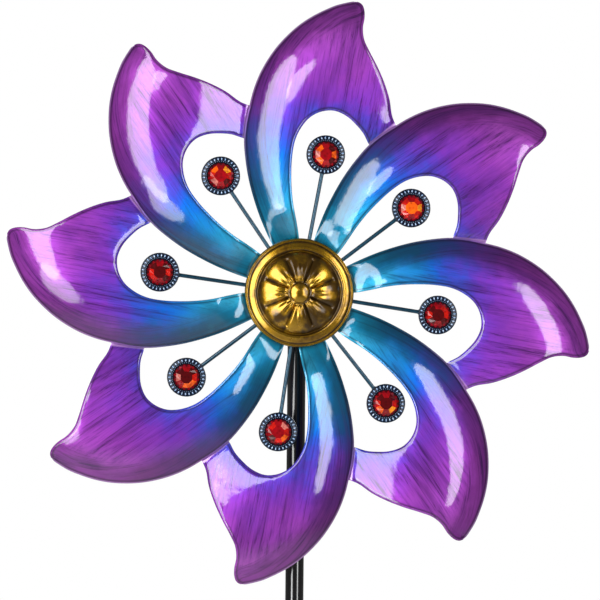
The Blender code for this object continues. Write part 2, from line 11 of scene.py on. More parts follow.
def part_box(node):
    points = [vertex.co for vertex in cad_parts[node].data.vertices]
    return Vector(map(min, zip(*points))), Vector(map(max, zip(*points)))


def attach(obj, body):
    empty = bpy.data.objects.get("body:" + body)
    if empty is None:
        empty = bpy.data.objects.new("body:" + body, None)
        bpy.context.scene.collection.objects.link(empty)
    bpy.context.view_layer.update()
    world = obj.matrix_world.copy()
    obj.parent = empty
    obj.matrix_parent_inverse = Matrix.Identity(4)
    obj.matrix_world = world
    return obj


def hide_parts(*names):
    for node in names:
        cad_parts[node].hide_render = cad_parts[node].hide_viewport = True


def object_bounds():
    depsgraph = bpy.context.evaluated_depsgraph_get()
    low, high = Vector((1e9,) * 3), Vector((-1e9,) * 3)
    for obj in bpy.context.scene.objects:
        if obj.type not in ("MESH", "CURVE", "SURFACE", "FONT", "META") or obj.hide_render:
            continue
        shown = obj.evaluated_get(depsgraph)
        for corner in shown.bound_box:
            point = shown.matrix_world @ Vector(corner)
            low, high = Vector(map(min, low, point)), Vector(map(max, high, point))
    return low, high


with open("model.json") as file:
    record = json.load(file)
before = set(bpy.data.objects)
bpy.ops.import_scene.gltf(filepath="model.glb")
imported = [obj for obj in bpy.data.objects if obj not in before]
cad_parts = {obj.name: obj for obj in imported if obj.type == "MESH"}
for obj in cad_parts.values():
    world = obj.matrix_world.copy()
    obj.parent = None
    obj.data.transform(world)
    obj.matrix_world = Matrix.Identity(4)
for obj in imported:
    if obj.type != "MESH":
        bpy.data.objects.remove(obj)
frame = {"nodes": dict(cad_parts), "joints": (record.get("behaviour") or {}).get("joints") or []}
CAD_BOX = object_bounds()

MM = 0.001
GAP = 0.3 * MM
FULL_TURN = 2 * math.pi

# ---------------- driving dimensions, as in the CAD
HUB_HEIGHT = next(joint for joint in frame["joints"] if joint["name"] == "wheel_spin")["pos_m"][2]
PETAL_COUNT = 8
FIRST_TIP_DEG = 34.85
FIRST_JEWEL_DEG = 36.65
JEWEL_CIRCLE_RADIUS = 144.4 * MM
STEM_SPLAY_DEG = (1.0, -2.0, -2.2, 0.5, 0.7, 0.3, 2.0, -0.2)
STEM_ROOT_RADIUS = 14 * MM
STEM_RADIUS = 2 * MM
SHEET = 0.8 * MM
PLATE_RADIUS = 50 * MM
POLE_RADIUS = 9.5 * MM
POLE_BORE = 8.3 * MM
HOUSING_RADIUS = 14 * MM
BEARING_RADIUS = 11 * MM
BEARING_WIDTH = 7 * MM
SOCKET_RADIUS = 9 * MM
SPINDLE_RADIUS = 6 * MM
AXLE_RADIUS = 4 * MM
BOLT_RADIUS = 2.5 * MM

# stations along the axle, in front of the pole's axis
HOUSING_FRONT = 32 * MM
HOUSING_BACK = -24 * MM
WASHER_BACK = HOUSING_BACK - 1.6 * MM
NUT_FRONT = WASHER_BACK - GAP
NUT_BACK = NUT_FRONT - 6.5 * MM
PLATE_BACK = 38.3 * MM
PLATE_FRONT = 41.3 * MM
PETAL_PLANE = PLATE_FRONT + GAP + SHEET / 2
STEM_PLANE = PLATE_FRONT + GAP + STEM_RADIUS
BEZEL_BACK = STEM_PLANE + STEM_RADIUS + GAP
BEZEL_FLOOR = 1.9 * MM
CAP_RIM = STEM_PLANE + 2.4 * MM

# heights on the pole, from the CAD's own boxes, and the fork's sizes
SOCKET_BOTTOM = HUB_HEIGHT - 17 * MM
POLE_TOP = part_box("upper_pole")[1].z
UPPER_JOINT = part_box("upper_pole")[0].z
LOWER_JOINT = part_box("middle_pole")[0].z
POLE_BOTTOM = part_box("lower_pole")[0].z
SWAGE_LENGTH = 50 * MM
FORK_SPAN = 150 * MM
FORK_BEND = 10 * MM
BAR_WIDTH = 16 * MM
BAR_THICKNESS = 4 * MM

# The wheel's frame: x to the right, y up and z forward along the axle.
WHEEL = Matrix.Translation((0, 0, HUB_HEIGHT)) @ Matrix.Rotation(math.pi / 2, 4, "X")


# ---------------- node helpers
def srgb(code):
    """A linear colour from a six-digit display colour."""
    parts = [int(code[i : i + 2], 16) / 255 for i in (0, 2, 4)]
    return tuple(c / 12.92 if c <= 0.04045 else ((c + 0.055) / 1.055) ** 2.4 for c in parts)


class Nodes:
    """Builds a material's node tree in few words. Colours are written as six-digit display colours."""

    def __init__(self, name):
        self.material = bpy.data.materials.new(name)
        self.material.use_nodes = True
        self.tree = self.material.node_tree
        self.shader = self.tree.nodes["Principled BSDF"]

    def add(self, kind, settings=None, **inputs):
        """Adds a node. An input goes by its name, or by its number as i0, i1 and so on."""
        node = self.tree.nodes.new(kind)
        for key, value in (settings or {}).items():
            setattr(node, key, value)
        for key, value in inputs.items():
            numbered = key[0] == "i" and key[1:].isdigit()
            self.feed(node.inputs[int(key[1:]) if numbered else key], value)
        return node

    def feed(self, socket, value):
        if isinstance(value, bpy.types.NodeSocket):
            self.tree.links.new(value, socket)
        elif isinstance(value, bpy.types.Node):
            self.tree.links.new(value.outputs[0], socket)
        else:
            socket.default_value = (*srgb(value), 1.0) if isinstance(value, str) else value

    def chain(self, operation, first, *others):
        """Adds, multiplies or subtracts any count of values, from left to right."""
        for other in others:
            first = self.add("ShaderNodeMath", {"operation": operation}, i0=first, i1=other).outputs[0]
        return first

    def plus(self, *values):
        return self.chain("ADD", *values)

    def times(self, *values):
        return self.chain("MULTIPLY", *values)

    def here(self, scale=(1, 1, 1)):
        """Places on the piece, in metres, stretched by a scale."""
        place = self.add("ShaderNodeTexCoord").outputs["Object"]
        return self.add("ShaderNodeMapping", i0=place, Scale=scale).outputs[0]

    def from_axis(self, place):
        """The distance of a place from the Z axis."""
        flat = self.add("ShaderNodeVectorMath", {"operation": "MULTIPLY"}, i0=place, i1=(1, 1, 0))
        return self.add("ShaderNodeVectorMath", {"operation": "LENGTH"}, i0=flat).outputs["Value"]

    def noise(self, place, scale, detail=3.0, roughness=0.6, distortion=0.0):
        grain = {"Scale": scale, "Detail": detail, "Roughness": roughness, "Distortion": distortion}
        return self.add("ShaderNodeTexNoise", i0=place, **grain).outputs[0]

    def spread(self, value, low, high, to_low=0.0, to_high=1.0, smooth=False):
        """Carries a range of values over to another one, and stops at its ends."""
        kind = "SMOOTHSTEP" if smooth else "LINEAR"
        ends = {"i1": low, "i2": high, "i3": to_low, "i4": to_high}
        return self.add("ShaderNodeMapRange", {"interpolation_type": kind}, i0=value, **ends).outputs[0]

    def ramp(self, value, stops):
        node = self.add("ShaderNodeValToRGB", i0=value)
        elements = node.color_ramp.elements
        while len(elements) < len(stops):
            elements.new(0.5)
        for element, (position, color) in zip(elements, stops):
            element.position = position
            element.color = (*srgb(color), 1.0)
        return node.outputs[0]

    def mix(self, share, a, b, blend="MIX"):
        settings = {"data_type": "RGBA", "blend_type": blend}
        return self.add("ShaderNodeMix", settings, i0=share, i6=a, i7=b).outputs[2]

    def attribute(self, name, output="Fac"):
        return self.add("ShaderNodeAttribute", {"attribute_name": name}).outputs[output]

    def bump(self, height, strength, distance, below=None):
        node = self.add("ShaderNodeBump", Height=height, Strength=strength, Distance=distance)
        if below is not None:
            self.feed(node.inputs["Normal"], below)
        return node.outputs[0]

    def finish(self, **sockets):
        for key, value in sockets.items():
            self.feed(self.shader.inputs[key.replace("_", " ")], value)
        return self.material


# ---------------- materials
# The paint at shares of the way from a petal's root to its tip: on the wing, then beside the curved edge.
PAINT_ALONG = (
    (0.05, "0488ac", "04708e"),
    (0.18, "0494c8", "046484"),
    (0.25, "0390d4", "034e70"),
    (0.33, "0380d8", "06486e"),
    (0.41, "0c6adc", "124078"),
    (0.47, "3654d4", "2a367c"),
    (0.54, "5c3ec4", "432c7c"),
    (0.62, "7e35ba", "5a2274"),
    (0.76, "993db6", "70267c"),
    (0.92, "aa4bbc", "883496"),
)


def petal_material():
    """Translucent paint over bright metal: turquoise at the root, blue, violet, then purple, with streaks."""
    n = Nodes("petal_paint")
    place = n.attribute("along", "Vector")
    radius = n.from_axis(place)
    edge = n.attribute("curved_gap")
    seed = n.attribute("seed")
    shift = n.add("ShaderNodeCombineXYZ", i0=seed, i1=seed, i2=seed)
    shifted = n.add("ShaderNodeVectorMath", {"operation": "ADD"}, i0=place, i1=shift).outputs[0]
    cloud = n.noise(shifted, 22, 4)
    blotch = n.noise(shifted, 70, 4, 0.65)
    wander = n.spread(cloud, 0.25, 0.75, -20 * MM, 20 * MM)
    drift = n.plus(radius, wander, n.spread(blotch, 0.2, 0.8, -8 * MM, 8 * MM))
    along = n.spread(drift, 30 * MM, 310 * MM)
    body, strip = [n.ramp(along, [(row[0], row[i]) for row in PAINT_ALONG]) for i in (1, 2)]
    reach = n.plus(edge, n.spread(cloud, 0.2, 0.8, -10 * MM, 10 * MM))
    color = n.mix(n.spread(reach, 9 * MM, 35 * MM, 1.0, 0.0, smooth=True), body, strip)
    # a painted highlight: pale turquoise along the crest near the root
    crest = n.spread(reach, 16 * MM, 30 * MM, smooth=True)
    painted_crest_highlight = n.times(crest, n.spread(radius, 60 * MM, 150 * MM, 0.25, 0.0, smooth=True))
    color = n.mix(painted_crest_highlight, color, "62dcf4")
    # brush strokes follow the curved edge beside it and run straight on the wing
    on_wing = n.spread(edge, 14 * MM, 32 * MM, smooth=True)
    split = n.add("ShaderNodeSeparateXYZ", i0=place)
    edgewise = n.chain("SUBTRACT", split.outputs["X"], split.outputs["Y"])
    across = n.plus(edge, n.times(edgewise, 0.10))

    def strokes(length_scale, width_scale, detail, roughness, distortion):
        stretch = (length_scale, width_scale, width_scale / 3)
        straight = n.add("ShaderNodeMapping", i0=shifted, Scale=stretch)
        lengthwise, widthwise = n.times(edgewise, length_scale), n.times(across, width_scale)
        bent = n.add("ShaderNodeCombineXYZ", i0=lengthwise, i1=widthwise, i2=n.times(seed, 9.0))
        beside, on = [n.noise(at, 1.0, detail, roughness, distortion) for at in (bent, straight)]
        return n.spread(on_wing, 0.0, 1.0, beside, on)

    patches = strokes(9, 95, 4, 0.62, 0.4)
    fine = strokes(14, 540, 5, 0.72, 0.5)
    streaks = n.times(n.spread(fine, 0.50, 0.61), n.spread(patches, 0.38, 0.62, 0.35, 1.0))
    outer = n.spread(radius, 80 * MM, 180 * MM, 0.6, 1.0)
    patch_share = n.times(n.spread(patches, 0.45, 0.66), 0.55, outer)
    streak_share = n.times(streaks, 0.70, outer)
    purple = n.spread(radius, 100 * MM, 180 * MM)
    color = n.mix(patch_share, color, n.mix(purple, "043c54", "441460"))
    color = n.mix(streak_share, color, n.mix(purple, "03202e", "280b3e"))
    # painted shade: a dark line inside the rolled rim; a painted highlight on the curved rim; a pale band on
    # the front of the tab's bend
    rim = n.attribute("rim_gap")
    line_start = n.spread(rim, 1.2 * MM, 2.2 * MM, smooth=True)
    line_end = n.spread(rim, 2.2 * MM, 4.4 * MM, 0.7, 0.0, smooth=True)
    painted_shade_tint = n.mix(n.spread(radius, 100 * MM, 200 * MM), "04222e", "280a34")
    color = n.mix(n.times(line_start, line_end), color, painted_shade_tint)
    # the pale curved rim is a painted highlight of the rolled lip
    pale = n.mix(n.spread(radius, 100 * MM, 190 * MM), "3f8fa8", "b98acb")
    painted_rim_highlight = n.spread(edge, 0.8 * MM, 1.8 * MM, 0.8, 0.0, smooth=True)
    color = n.mix(n.times(painted_rim_highlight, n.spread(radius, 120 * MM, 170 * MM, 0.2, 1.0)), color, pale)
    normal = n.add("ShaderNodeTexCoord").outputs["Normal"]
    facing = n.add("ShaderNodeSeparateXYZ", i0=normal).outputs["Z"]
    tab_gap, fade = n.attribute("tab_gap"), 0.8 * MM
    tab = n.spread(tab_gap, TAB_BEND - fade, TAB_BEND + fade, 0.85, 0.0, smooth=True)
    color = n.mix(n.times(tab, n.spread(facing, 0.0, 0.2)), color, pale)
    # the sheet's own waves, the brush's furrows and the clear coat's orange peel
    waves = n.noise(shifted, 34, 3, 0.5)
    peel = n.noise(shifted, 420, 2, 0.5)
    coat_bump = n.bump(peel, 0.05, 0.2 * MM, n.bump(waves, 0.22, 1.4 * MM))
    return n.finish(
        Base_Color=color, Metallic=0.6,
        Roughness=n.plus(n.spread(blotch, 0.2, 0.8, 0.38, 0.52), n.times(streak_share, 0.15)),
        Specular_IOR_Level=0.05, Normal=n.bump(fine, 0.20, 0.3 * MM, n.bump(waves, 0.30, 1.6 * MM)),
        Coat_Weight=1.0, Coat_Roughness=0.06, Coat_IOR=1.6,
        Coat_Normal=n.bump(fine, 0.08, 0.3 * MM, coat_bump),
    )


def gold_material():
    """Gold paint on a stamping, with a brown wash left in its hollows."""
    n = Nodes("hub_gold")
    place = n.here()
    cloud = n.noise(place, 60, 4)
    fine = n.noise(place, 420)
    # the wash pools more on some lobes than on others, but hardly on the broad ring
    pool = n.spread(n.noise(place, 34, 2, 0.5), 0.42, 0.60, -0.10, 0.45)
    on_lobes = n.spread(n.from_axis(place), 36 * MM, 43 * MM, 1.0, 0.1)
    settled = n.plus(n.attribute("hollow"), n.spread(cloud, 0.25, 0.75, -0.45, 0.50))
    wash = n.spread(n.plus(settled, n.times(pool, on_lobes)), 0.18, 0.80, smooth=True)
    gold = n.mix(n.spread(cloud, 0.3, 0.7), "b48a18", "92690a")
    color = n.mix(n.times(wash, 0.88), gold, "2e1c04")
    return n.finish(
        Base_Color=n.mix(n.spread(fine, 0.60, 0.80, 0.0, 0.35), color, "6b4a08"), Metallic=1.0,
        Roughness=n.spread(wash, 0.0, 1.0, 0.27, 0.50),
        Normal=n.bump(fine, 0.12, 0.2 * MM, n.bump(cloud, 0.25, 0.6 * MM)), Coat_Weight=0.7,
        Coat_Roughness=0.14,
    )


def bezel_material():
    """Navy and teal enamel; the raised beads are a pale blue rubbed with white."""
    n = Nodes("bezel_enamel")
    place = n.here()
    cloud, fine = n.noise(place, 55), n.noise(place, 600)
    base = n.mix(n.spread(cloud, 0.35, 0.65), "040b26", "041c30")
    bead = n.mix(n.spread(fine, 0.3, 0.7), "d8e8fc", "7ca8dc")
    color = n.mix(n.attribute("bead"), base, bead)
    return n.finish(
        Base_Color=n.mix(n.spread(fine, 0.62, 0.8, 0.0, 0.5), color, "0a1430"), Metallic=0.3,
        Roughness=n.spread(fine, 0.2, 0.8, 0.28, 0.50), Specular_IOR_Level=0.2,
        Normal=n.bump(fine, 0.15, 0.2 * MM), Coat_Weight=0.3, Coat_Roughness=0.08,
    )


def stem_material():
    """The petals' deep blue paint on a thin rod, speckled dark."""
    n = Nodes("stem_paint")
    place = n.here()
    cloud, fine = n.noise(place, 40), n.noise(place, 700)
    color = n.mix(n.spread(cloud, 0.3, 0.7), "0a4c64", "062c40")
    return n.finish(
        Base_Color=n.mix(n.spread(fine, 0.60, 0.80, 0.0, 0.6), color, "030f18"), Metallic=0.7,
        Roughness=n.spread(fine, 0.2, 0.8, 0.25, 0.45), Normal=n.bump(fine, 0.12, 0.2 * MM),
        Coat_Weight=0.8, Coat_Roughness=0.08,
    )


def gem_material():
    """Red faceted resin on a foil back. Each facet carries a painted tint; the bright tints are painted
    reflections.
    """
    n = Nodes("red_gem")
    place = n.here()
    cells = n.add("ShaderNodeTexVoronoi", {"feature": "F1"}, i0=place, Scale=330)
    sparkle = n.spread(cells.outputs["Distance"], 0.1, 0.7, 0.75, 1.15)
    grey = n.add("ShaderNodeCombineXYZ", i0=sparkle, i1=sparkle, i2=sparkle)
    color = n.mix(1.0, n.attribute("tint", "Color"), grey, "MULTIPLY")
    cloud = n.noise(place, 130, 2, 0.5)
    return n.finish(
        Base_Color=n.mix(n.spread(cloud, 0.42, 0.75, 0.0, 0.6), color, "4a0208"),
        Roughness=n.spread(cloud, 0.2, 0.8, 0.10, 0.22), Specular_IOR_Level=0.25, Coat_Weight=0.35,
        Coat_Roughness=0.02, Coat_IOR=1.45,
    )


def enamel_material():
    """Gloss black powder coat with orange peel, a little dust and rubbed patches."""
    n = Nodes("black_enamel")
    place = n.here()
    cloud = n.noise(place, 30, 4)
    color = n.mix(n.spread(cloud, 0.4, 0.8), "0a0a0b", "151517")
    dust = n.spread(n.noise(place, 1500, 2, 0.7), 0.70, 0.80, 0.0, 0.35)
    return n.finish(
        Base_Color=n.mix(dust, color, "4a4a4c"), Roughness=n.spread(cloud, 0.2, 0.8, 0.12, 0.26),
        Normal=n.bump(n.noise(place, 900, 2, 0.5), 0.10, 0.2 * MM), Coat_Weight=1.0, Coat_Roughness=0.06,
    )


def metal_material(name, light, dark, rough):
    """Bare or plated metal, mottled and finely scratched."""
    n = Nodes(name)
    cloud = n.noise(n.here(), 90, 4)
    scratch = n.noise(n.here((200, 2200, 700)), 1.0)
    color = n.mix(n.spread(cloud, 0.3, 0.7), light, dark)
    return n.finish(
        Base_Color=n.mix(n.spread(scratch, 0.60, 0.75, 0.0, 0.4), color, dark), Metallic=1.0,
        Roughness=n.spread(cloud, 0.2, 0.8, *rough), Normal=n.bump(scratch, 0.10, 0.2 * MM),
    )


def nylon_material():
    """Off-white moulded nylon that lets a little light in."""
    n = Nodes("nylon")
    place = n.here()
    fine = n.noise(place, 1200, 2)
    return n.finish(
        Base_Color=n.mix(n.spread(n.noise(place, 70), 0.3, 0.7), "e8e4d6", "d3ccb8"),
        Roughness=n.spread(fine, 0.2, 0.8, 0.38, 0.55), Normal=n.bump(fine, 0.15, 0.2 * MM),
        Subsurface_Weight=0.15, Subsurface_Radius=(2.0 * MM, 1.8 * MM, 1.5 * MM),
    )


# ---------------- mesh helpers
def link_new(name, data):
    made = bpy.data.objects.new(name, data)
    bpy.context.scene.collection.objects.link(made)
    return made


def piece(name, shape, place, body, slot, replaced, smooth_deg=None):
    """Puts a mesh or a bmesh in the scene as a piece that rides on a body and stands for CAD nodes."""
    mesh = to_mesh(name, shape) if isinstance(shape, bmesh.types.BMesh) else shape
    if smooth_deg is not None:
        mesh.shade_smooth()
        mesh.set_sharp_from_angle(angle=math.radians(smooth_deg))
    mesh.materials.append(LOOKS[slot])
    made = link_new(name, mesh)
    made.matrix_world = place
    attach(made, body)
    if replaced:
        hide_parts(*replaced)
    return made


def to_mesh(name, bm):
    bmesh.ops.recalc_face_normals(bm, faces=bm.faces)
    mesh = bpy.data.meshes.new(name)
    bm.to_mesh(mesh)
    bm.free()
    return mesh


def rounded(corners, radius, steps=3, closed=False):
    """Rounds the corners of an outline of (radius, height) points. A corner may carry its own third value."""
    nearly_straight = math.radians(87)
    made = []
    for i, corner in enumerate(corners):
        here = Vector(corner[:2])
        fillet = corner[2] if len(corner) > 2 else radius
        if not closed and i in (0, len(corners) - 1):
            made.append(here)
            continue
        before = Vector(corners[i - 1][:2]) - here
        after = Vector(corners[(i + 1) % len(corners)][:2]) - here
        half = before.angle(after) / 2
        if half > nearly_straight:
            made.append(here)
            continue
        cut = min(fillet / math.tan(half), before.length * 0.45, after.length * 0.45)
        start, end = here + before.normalized() * cut, here + after.normalized() * cut
        # a point just outside each end of the fillet keeps the long faces' shading straight
        made.append(start + before * min(0.5 * MM / before.length, 0.04))
        for k in range(steps + 1):
            share = k / steps
            made.append(start.lerp(here, share).lerp(here.lerp(end, share), share))
        made.append(end + after * min(0.5 * MM / after.length, 0.04))
    return made


def ring_of(bm, sides, at, place=Matrix()):
    """A ring of vertices about the place's Z, at a (radius, height) or a function of the angle."""
    made = []
    for i in range(sides):
        angle = FULL_TURN * i / sides
        radius, height = at(angle) if callable(at) else at
        spot = Vector((radius * math.cos(angle), radius * math.sin(angle), height))
        made.append(bm.verts.new(place @ spot))
    return made


def skin(bm, rings, closed=False, capped=False):
    """Joins each ring to the next. A ring of one vertex is a point that the faces run to."""
    pairs = list(zip(rings, rings[1:]))
    if closed:
        pairs.append((rings[-1], rings[0]))
    if capped:
        bm.faces.new(rings[0])
        bm.faces.new(rings[-1])
    for low, high in pairs:
        sides = max(len(low), len(high))
        for i in range(sides):
            j = (i + 1) % sides
            corners = [low[i % len(low)], low[j % len(low)], high[j % len(high)], high[i % len(high)]]
            unique = list(dict.fromkeys(corners))
            if len(unique) > 2:
                bm.faces.new(unique)


def lathe_into(bm, outline, sides, closed=False, place=Matrix()):
    """Turns an outline of (radius, height) points about the place's Z. Points on the axis close the form."""
    skin(bm, [ring_of(bm, sides if spot[0] > 0 else 1, spot, place) for spot in outline], closed)


def turned(name, outline, fillet, sides, place, body, slot, node, steps=3):
    """A turned piece with rounded corners. Its outline closes on itself unless it starts on the axis."""
    closed = outline[0][0] > 0
    bm = bmesh.new()
    lathe_into(bm, rounded(outline, fillet, steps, closed), sides, closed)
    piece(name, bm, place, body, slot, [node], 40)


def bead_into(bm, place, half_sizes, rounds=2):
    """A small smooth lump with its half sizes along the place's axes."""
    shape = place @ Matrix.Diagonal((*half_sizes, 1))
    bmesh.ops.create_icosphere(bm, subdivisions=rounds, radius=1, matrix=shape)


def in_mm(values):
    return tuple(value * MM for value in values)


def set_attribute(mesh, name, values, kind="FLOAT"):
    layer = mesh.attributes.new(name, kind, "POINT")
    field = {"FLOAT": "value", "FLOAT_VECTOR": "vector"}[kind]
    layer.data.foreach_set(field, np.ravel(values).astype(np.float32))


def ease(share):
    share = np.clip(share, 0.0, 1.0)
    return share * share * (3 - 2 * share)


# ---------------- petals
# Ribs as in the CAD: (degrees from the tip line, radius in mm) on the curved edge and at the inner end.
LEAF_RIBS = (
    ((40.5, 38.0), (9.0, 38.0)), ((39.6, 58.0), (10.9, 58.0)), ((38.7, 73.0), (13.0, 73.0)),
    ((37.8, 88.0), (14.7, 88.0)), ((36.3, 107.0), (15.2, 105.0)), ((34.6, 127.0), (14.8, 123.0)),
    ((32.5, 148.0), (13.9, 141.0)), ((30.3, 168.0), (12.4, 157.0)), ((28.1, 183.0), (10.2, 169.5)),
    ((25.8, 197.0), (7.2, 180.5)), ((23.4, 213.0), (3.7, 187.2)), ((20.9, 228.0), (0.0, 190.0)),
    ((18.3, 241.7), (-1.3, 203.0)), ((15.7, 254.2), (-2.4, 216.5)), ((13.2, 264.9), (-3.5, 230.0)),
    ((10.9, 274.1), (-4.4, 243.5)), ((8.0, 284.1), (-5.3, 257.5)), ((5.2, 292.5), (-3.6, 267.0)),
    ((3.1, 298.4), (-2.7, 279.5)), ((2.1, 300.6), (-2.6, 290.0)), ((1.4, 302.1), (-2.2, 298.2)),
    ((0.9, 303.1), (-1.8, 301.9)), ((0.4, 304.1), (-1.3, 304.1)), ((0.0, 304.7), (-0.7, 305.0)),
)
THROAT_RIB = 11
BACK_RIB = 16
WING_RIBS = (
    ((-4.0, 188.0), (-8.3, 244.5)),
    ((-8.3, 182.0), (-11.3, 232.0)),
    ((-11.3, 176.8), (-14.3, 219.0)),
    ((-14.3, 169.5), (-17.3, 204.5)),
    ((-16.4, 165.5), (-20.5, 197.0)),
)
EDGE_SLOPE = 0.62
CREST_DISTANCE = 58 * MM
EDGE_LIFT = 3.2 * MM
FLAT_ROOT = 50 * MM
FULL_PITCH = 88 * MM
FULL_LIFT = 150 * MM
FLAT_TAB = 5.4 * MM
TAB_STEP = 2.6 * MM
TAB_STEP_LENGTH = 4.5 * MM
TAB_BEND = FLAT_TAB + TAB_STEP_LENGTH / 2
WING_SLOPE = 0.31
BLEND = 2.2 * MM
# the rims' pressed lip and rolled edge, which start outside the hub
LIP_WIDTH = 2.6 * MM
LIP_DROP = 0.9 * MM
ROLL_WIDTH = 5 * MM
ROLL_DROP = 1.0 * MM
RIM_START = 54 * MM
RIM_FADE = 16 * MM
TAB_FADE = 4 * MM
# the mesh: points crowd at a rib's ends, and a short rib has its end points closer together
EDGE_STEPS = (0.0, 0.5 * MM, 1.1 * MM, 1.9 * MM, 3.0 * MM)
FULL_STEPS_LENGTH = 14 * MM
MIDDLE_STEPS = 18
ROWS_PER_RIB = 4
ROLLED_EDGE = 0.25 * MM
SHARP_EDGE = math.radians(60)
# each petal's paint differs by its seed
SEED_STEP = 0.37
# the skin's rounded tips stay just inside the CAD petals'
SKIN_FIT = 0.9995


def placed(rib_end):
    degrees, radius = rib_end
    angle = math.radians(degrees)
    return np.array((radius * math.cos(angle), radius * math.sin(angle), 0.0)) * MM


def smooth_line(points, t):
    """A point on the smooth curve through the points, t counting points from 0."""
    last = len(points) - 1
    i = min(int(t), last - 1)
    f = t - i
    steps = [max(np.linalg.norm(points[k + 1] - points[k]), 1e-9) for k in range(last)]

    def slope(k):
        if k == 0:
            return (points[1] - points[0]) / steps[0]
        if k == last:
            return (points[last] - points[last - 1]) / steps[last - 1]
        before = (points[k] - points[k - 1]) / steps[k - 1]
        after = (points[k + 1] - points[k]) / steps[k]
        return (before * steps[k] + after * steps[k - 1]) / (steps[k] + steps[k - 1])

    h = steps[i]
    return (
        points[i] * (2 * f**3 - 3 * f**2 + 1)
        + points[i + 1] * (3 * f**2 - 2 * f**3)
        + slope(i) * h * (f**3 - 2 * f**2 + f)
        + slope(i + 1) * h * (f**3 - f**2)
    )


def line_distance(line, points):
    """For many points, the distance in the petal's plane to a line of many segments."""
    start, run = line[:-1, :2], line[1:, :2] - line[:-1, :2]
    offset = points[:, None, :2] - start[None]
    share = (offset * run[None]).sum(-1) / np.maximum((run**2).sum(-1), 1e-12)
    away = np.linalg.norm(offset - np.clip(share, 0, 1)[..., None] * run[None], axis=-1)
    return away.min(1)


def edge_shares(start, end):
    """Shares of the way between two places that crowd towards both ends."""
    length = float(np.linalg.norm(end - start))
    fit = min(1.0, length / FULL_STEPS_LENGTH)
    ends = [step * fit / length for step in EDGE_STEPS]
    middle = np.linspace(ends[-1], 1 - ends[-1], MIDDLE_STEPS)[1:-1]
    return ends + list(middle) + [1 - e for e in reversed(ends)]


def petal_sheet():
    """The petal's middle surface: points, faces, and how far each point is from the edges."""
    leaf_curved = [placed(curved) for curved, _ in LEAF_RIBS]
    leaf_inner = [placed(inner) for _, inner in LEAF_RIBS]
    wing_opening = [placed(opening) for opening, _ in WING_RIBS]
    wing_back = [placed(back) for _, back in WING_RIBS]
    opening = leaf_inner[: THROAT_RIB + 1] + wing_opening
    back = list(reversed(wing_back)) + leaf_inner[BACK_RIB:]
    throat, heel = leaf_inner[THROAT_RIB], leaf_inner[BACK_RIB]
    fold_shares = edge_shares(throat, heel)
    span = BACK_RIB - THROAT_RIB
    crossing = [THROAT_RIB + span * share for share in fold_shares]
    before = [i / ROWS_PER_RIB for i in range(THROAT_RIB * ROWS_PER_RIB)]
    tip_rows = (len(LEAF_RIBS) - 1 - BACK_RIB) * ROWS_PER_RIB
    after = [BACK_RIB + i / ROWS_PER_RIB for i in range(1, tip_rows + 1)]
    points, faces = [], []

    def row(start, end, shares):
        made = range(len(points), len(points) + len(shares))
        points.extend(start + (end - start) * share for share in shares)
        return made

    def join(low, high):
        for j in range(len(low) - 1):
            faces.append((low[j + 1], low[j], high[j], high[j + 1]))

    # the leaf, from the hub to the tip
    rows = []
    for t in before + crossing + after:
        if t <= THROAT_RIB:
            inner = smooth_line(opening, t)
        elif t < BACK_RIB:
            inner = throat + (heel - throat) * ((t - THROAT_RIB) / span)
        else:
            inner = smooth_line(back, t - BACK_RIB + len(wing_back))
        curved = smooth_line(leaf_curved, t)
        rows.append(row(curved, inner, edge_shares(curved, inner)))
    for low, high in zip(rows, rows[1:]):
        join(low, high)
    # the wing, from the leaf to the tab
    fold = [made[-1] for made in rows[len(before) : len(before) + len(crossing)]]
    for i in range(1, len(WING_RIBS) * ROWS_PER_RIB + 1):
        t = i / ROWS_PER_RIB
        made = row(smooth_line(opening, THROAT_RIB + t), smooth_line(back, len(wing_back) - t), fold_shares)
        join(fold, made)
        fold = made
    points = np.array(points)

    def from_line(line):
        finely = [smooth_line(line, i / ROWS_PER_RIB) for i in range((len(line) - 1) * ROWS_PER_RIB + 1)]
        return line_distance(np.array(finely), points)

    curved_gap, opening_gap, back_gap = from_line(leaf_curved), from_line(opening), from_line(back)
    rim_gap = np.minimum(np.minimum(curved_gap, opening_gap), back_gap)
    from_tab = line_distance(np.array([wing_opening[-1], wing_back[-1]]), points)
    radius = np.linalg.norm(points[:, :2], axis=1)
    # the crest along the curved edge meets the wing that falls back, with a soft bend between them
    inward = np.minimum(curved_gap, CREST_DISTANCE)
    rise = EDGE_SLOPE * (inward - inward**2 / (2 * CREST_DISTANCE))
    rise *= ease((radius - FLAT_ROOT) / (FULL_PITCH - FLAT_ROOT))
    rise += EDGE_LIFT * ease((radius - FLAT_ROOT) / (FULL_LIFT - FLAT_ROOT))
    fall = TAB_STEP * ease((from_tab - FLAT_TAB) / TAB_STEP_LENGTH)
    fall += WING_SLOPE * np.maximum(0, from_tab - TAB_BEND)
    height = np.maximum(0, -BLEND * np.log(np.exp(-rise / BLEND) + np.exp(-fall / BLEND)))
    roll = ROLL_DROP * np.exp(-np.minimum(opening_gap, back_gap) / ROLL_WIDTH)
    lip = LIP_DROP * np.clip(1 - rim_gap / LIP_WIDTH, 0, 1) ** 2
    free = ease((radius - RIM_START) / RIM_FADE) * ease((from_tab - FLAT_TAB) / TAB_FADE)
    points[:, 2] = height - (roll + lip) * free
    return points, faces, {"curved_gap": curved_gap, "rim_gap": rim_gap, "tab_gap": from_tab}


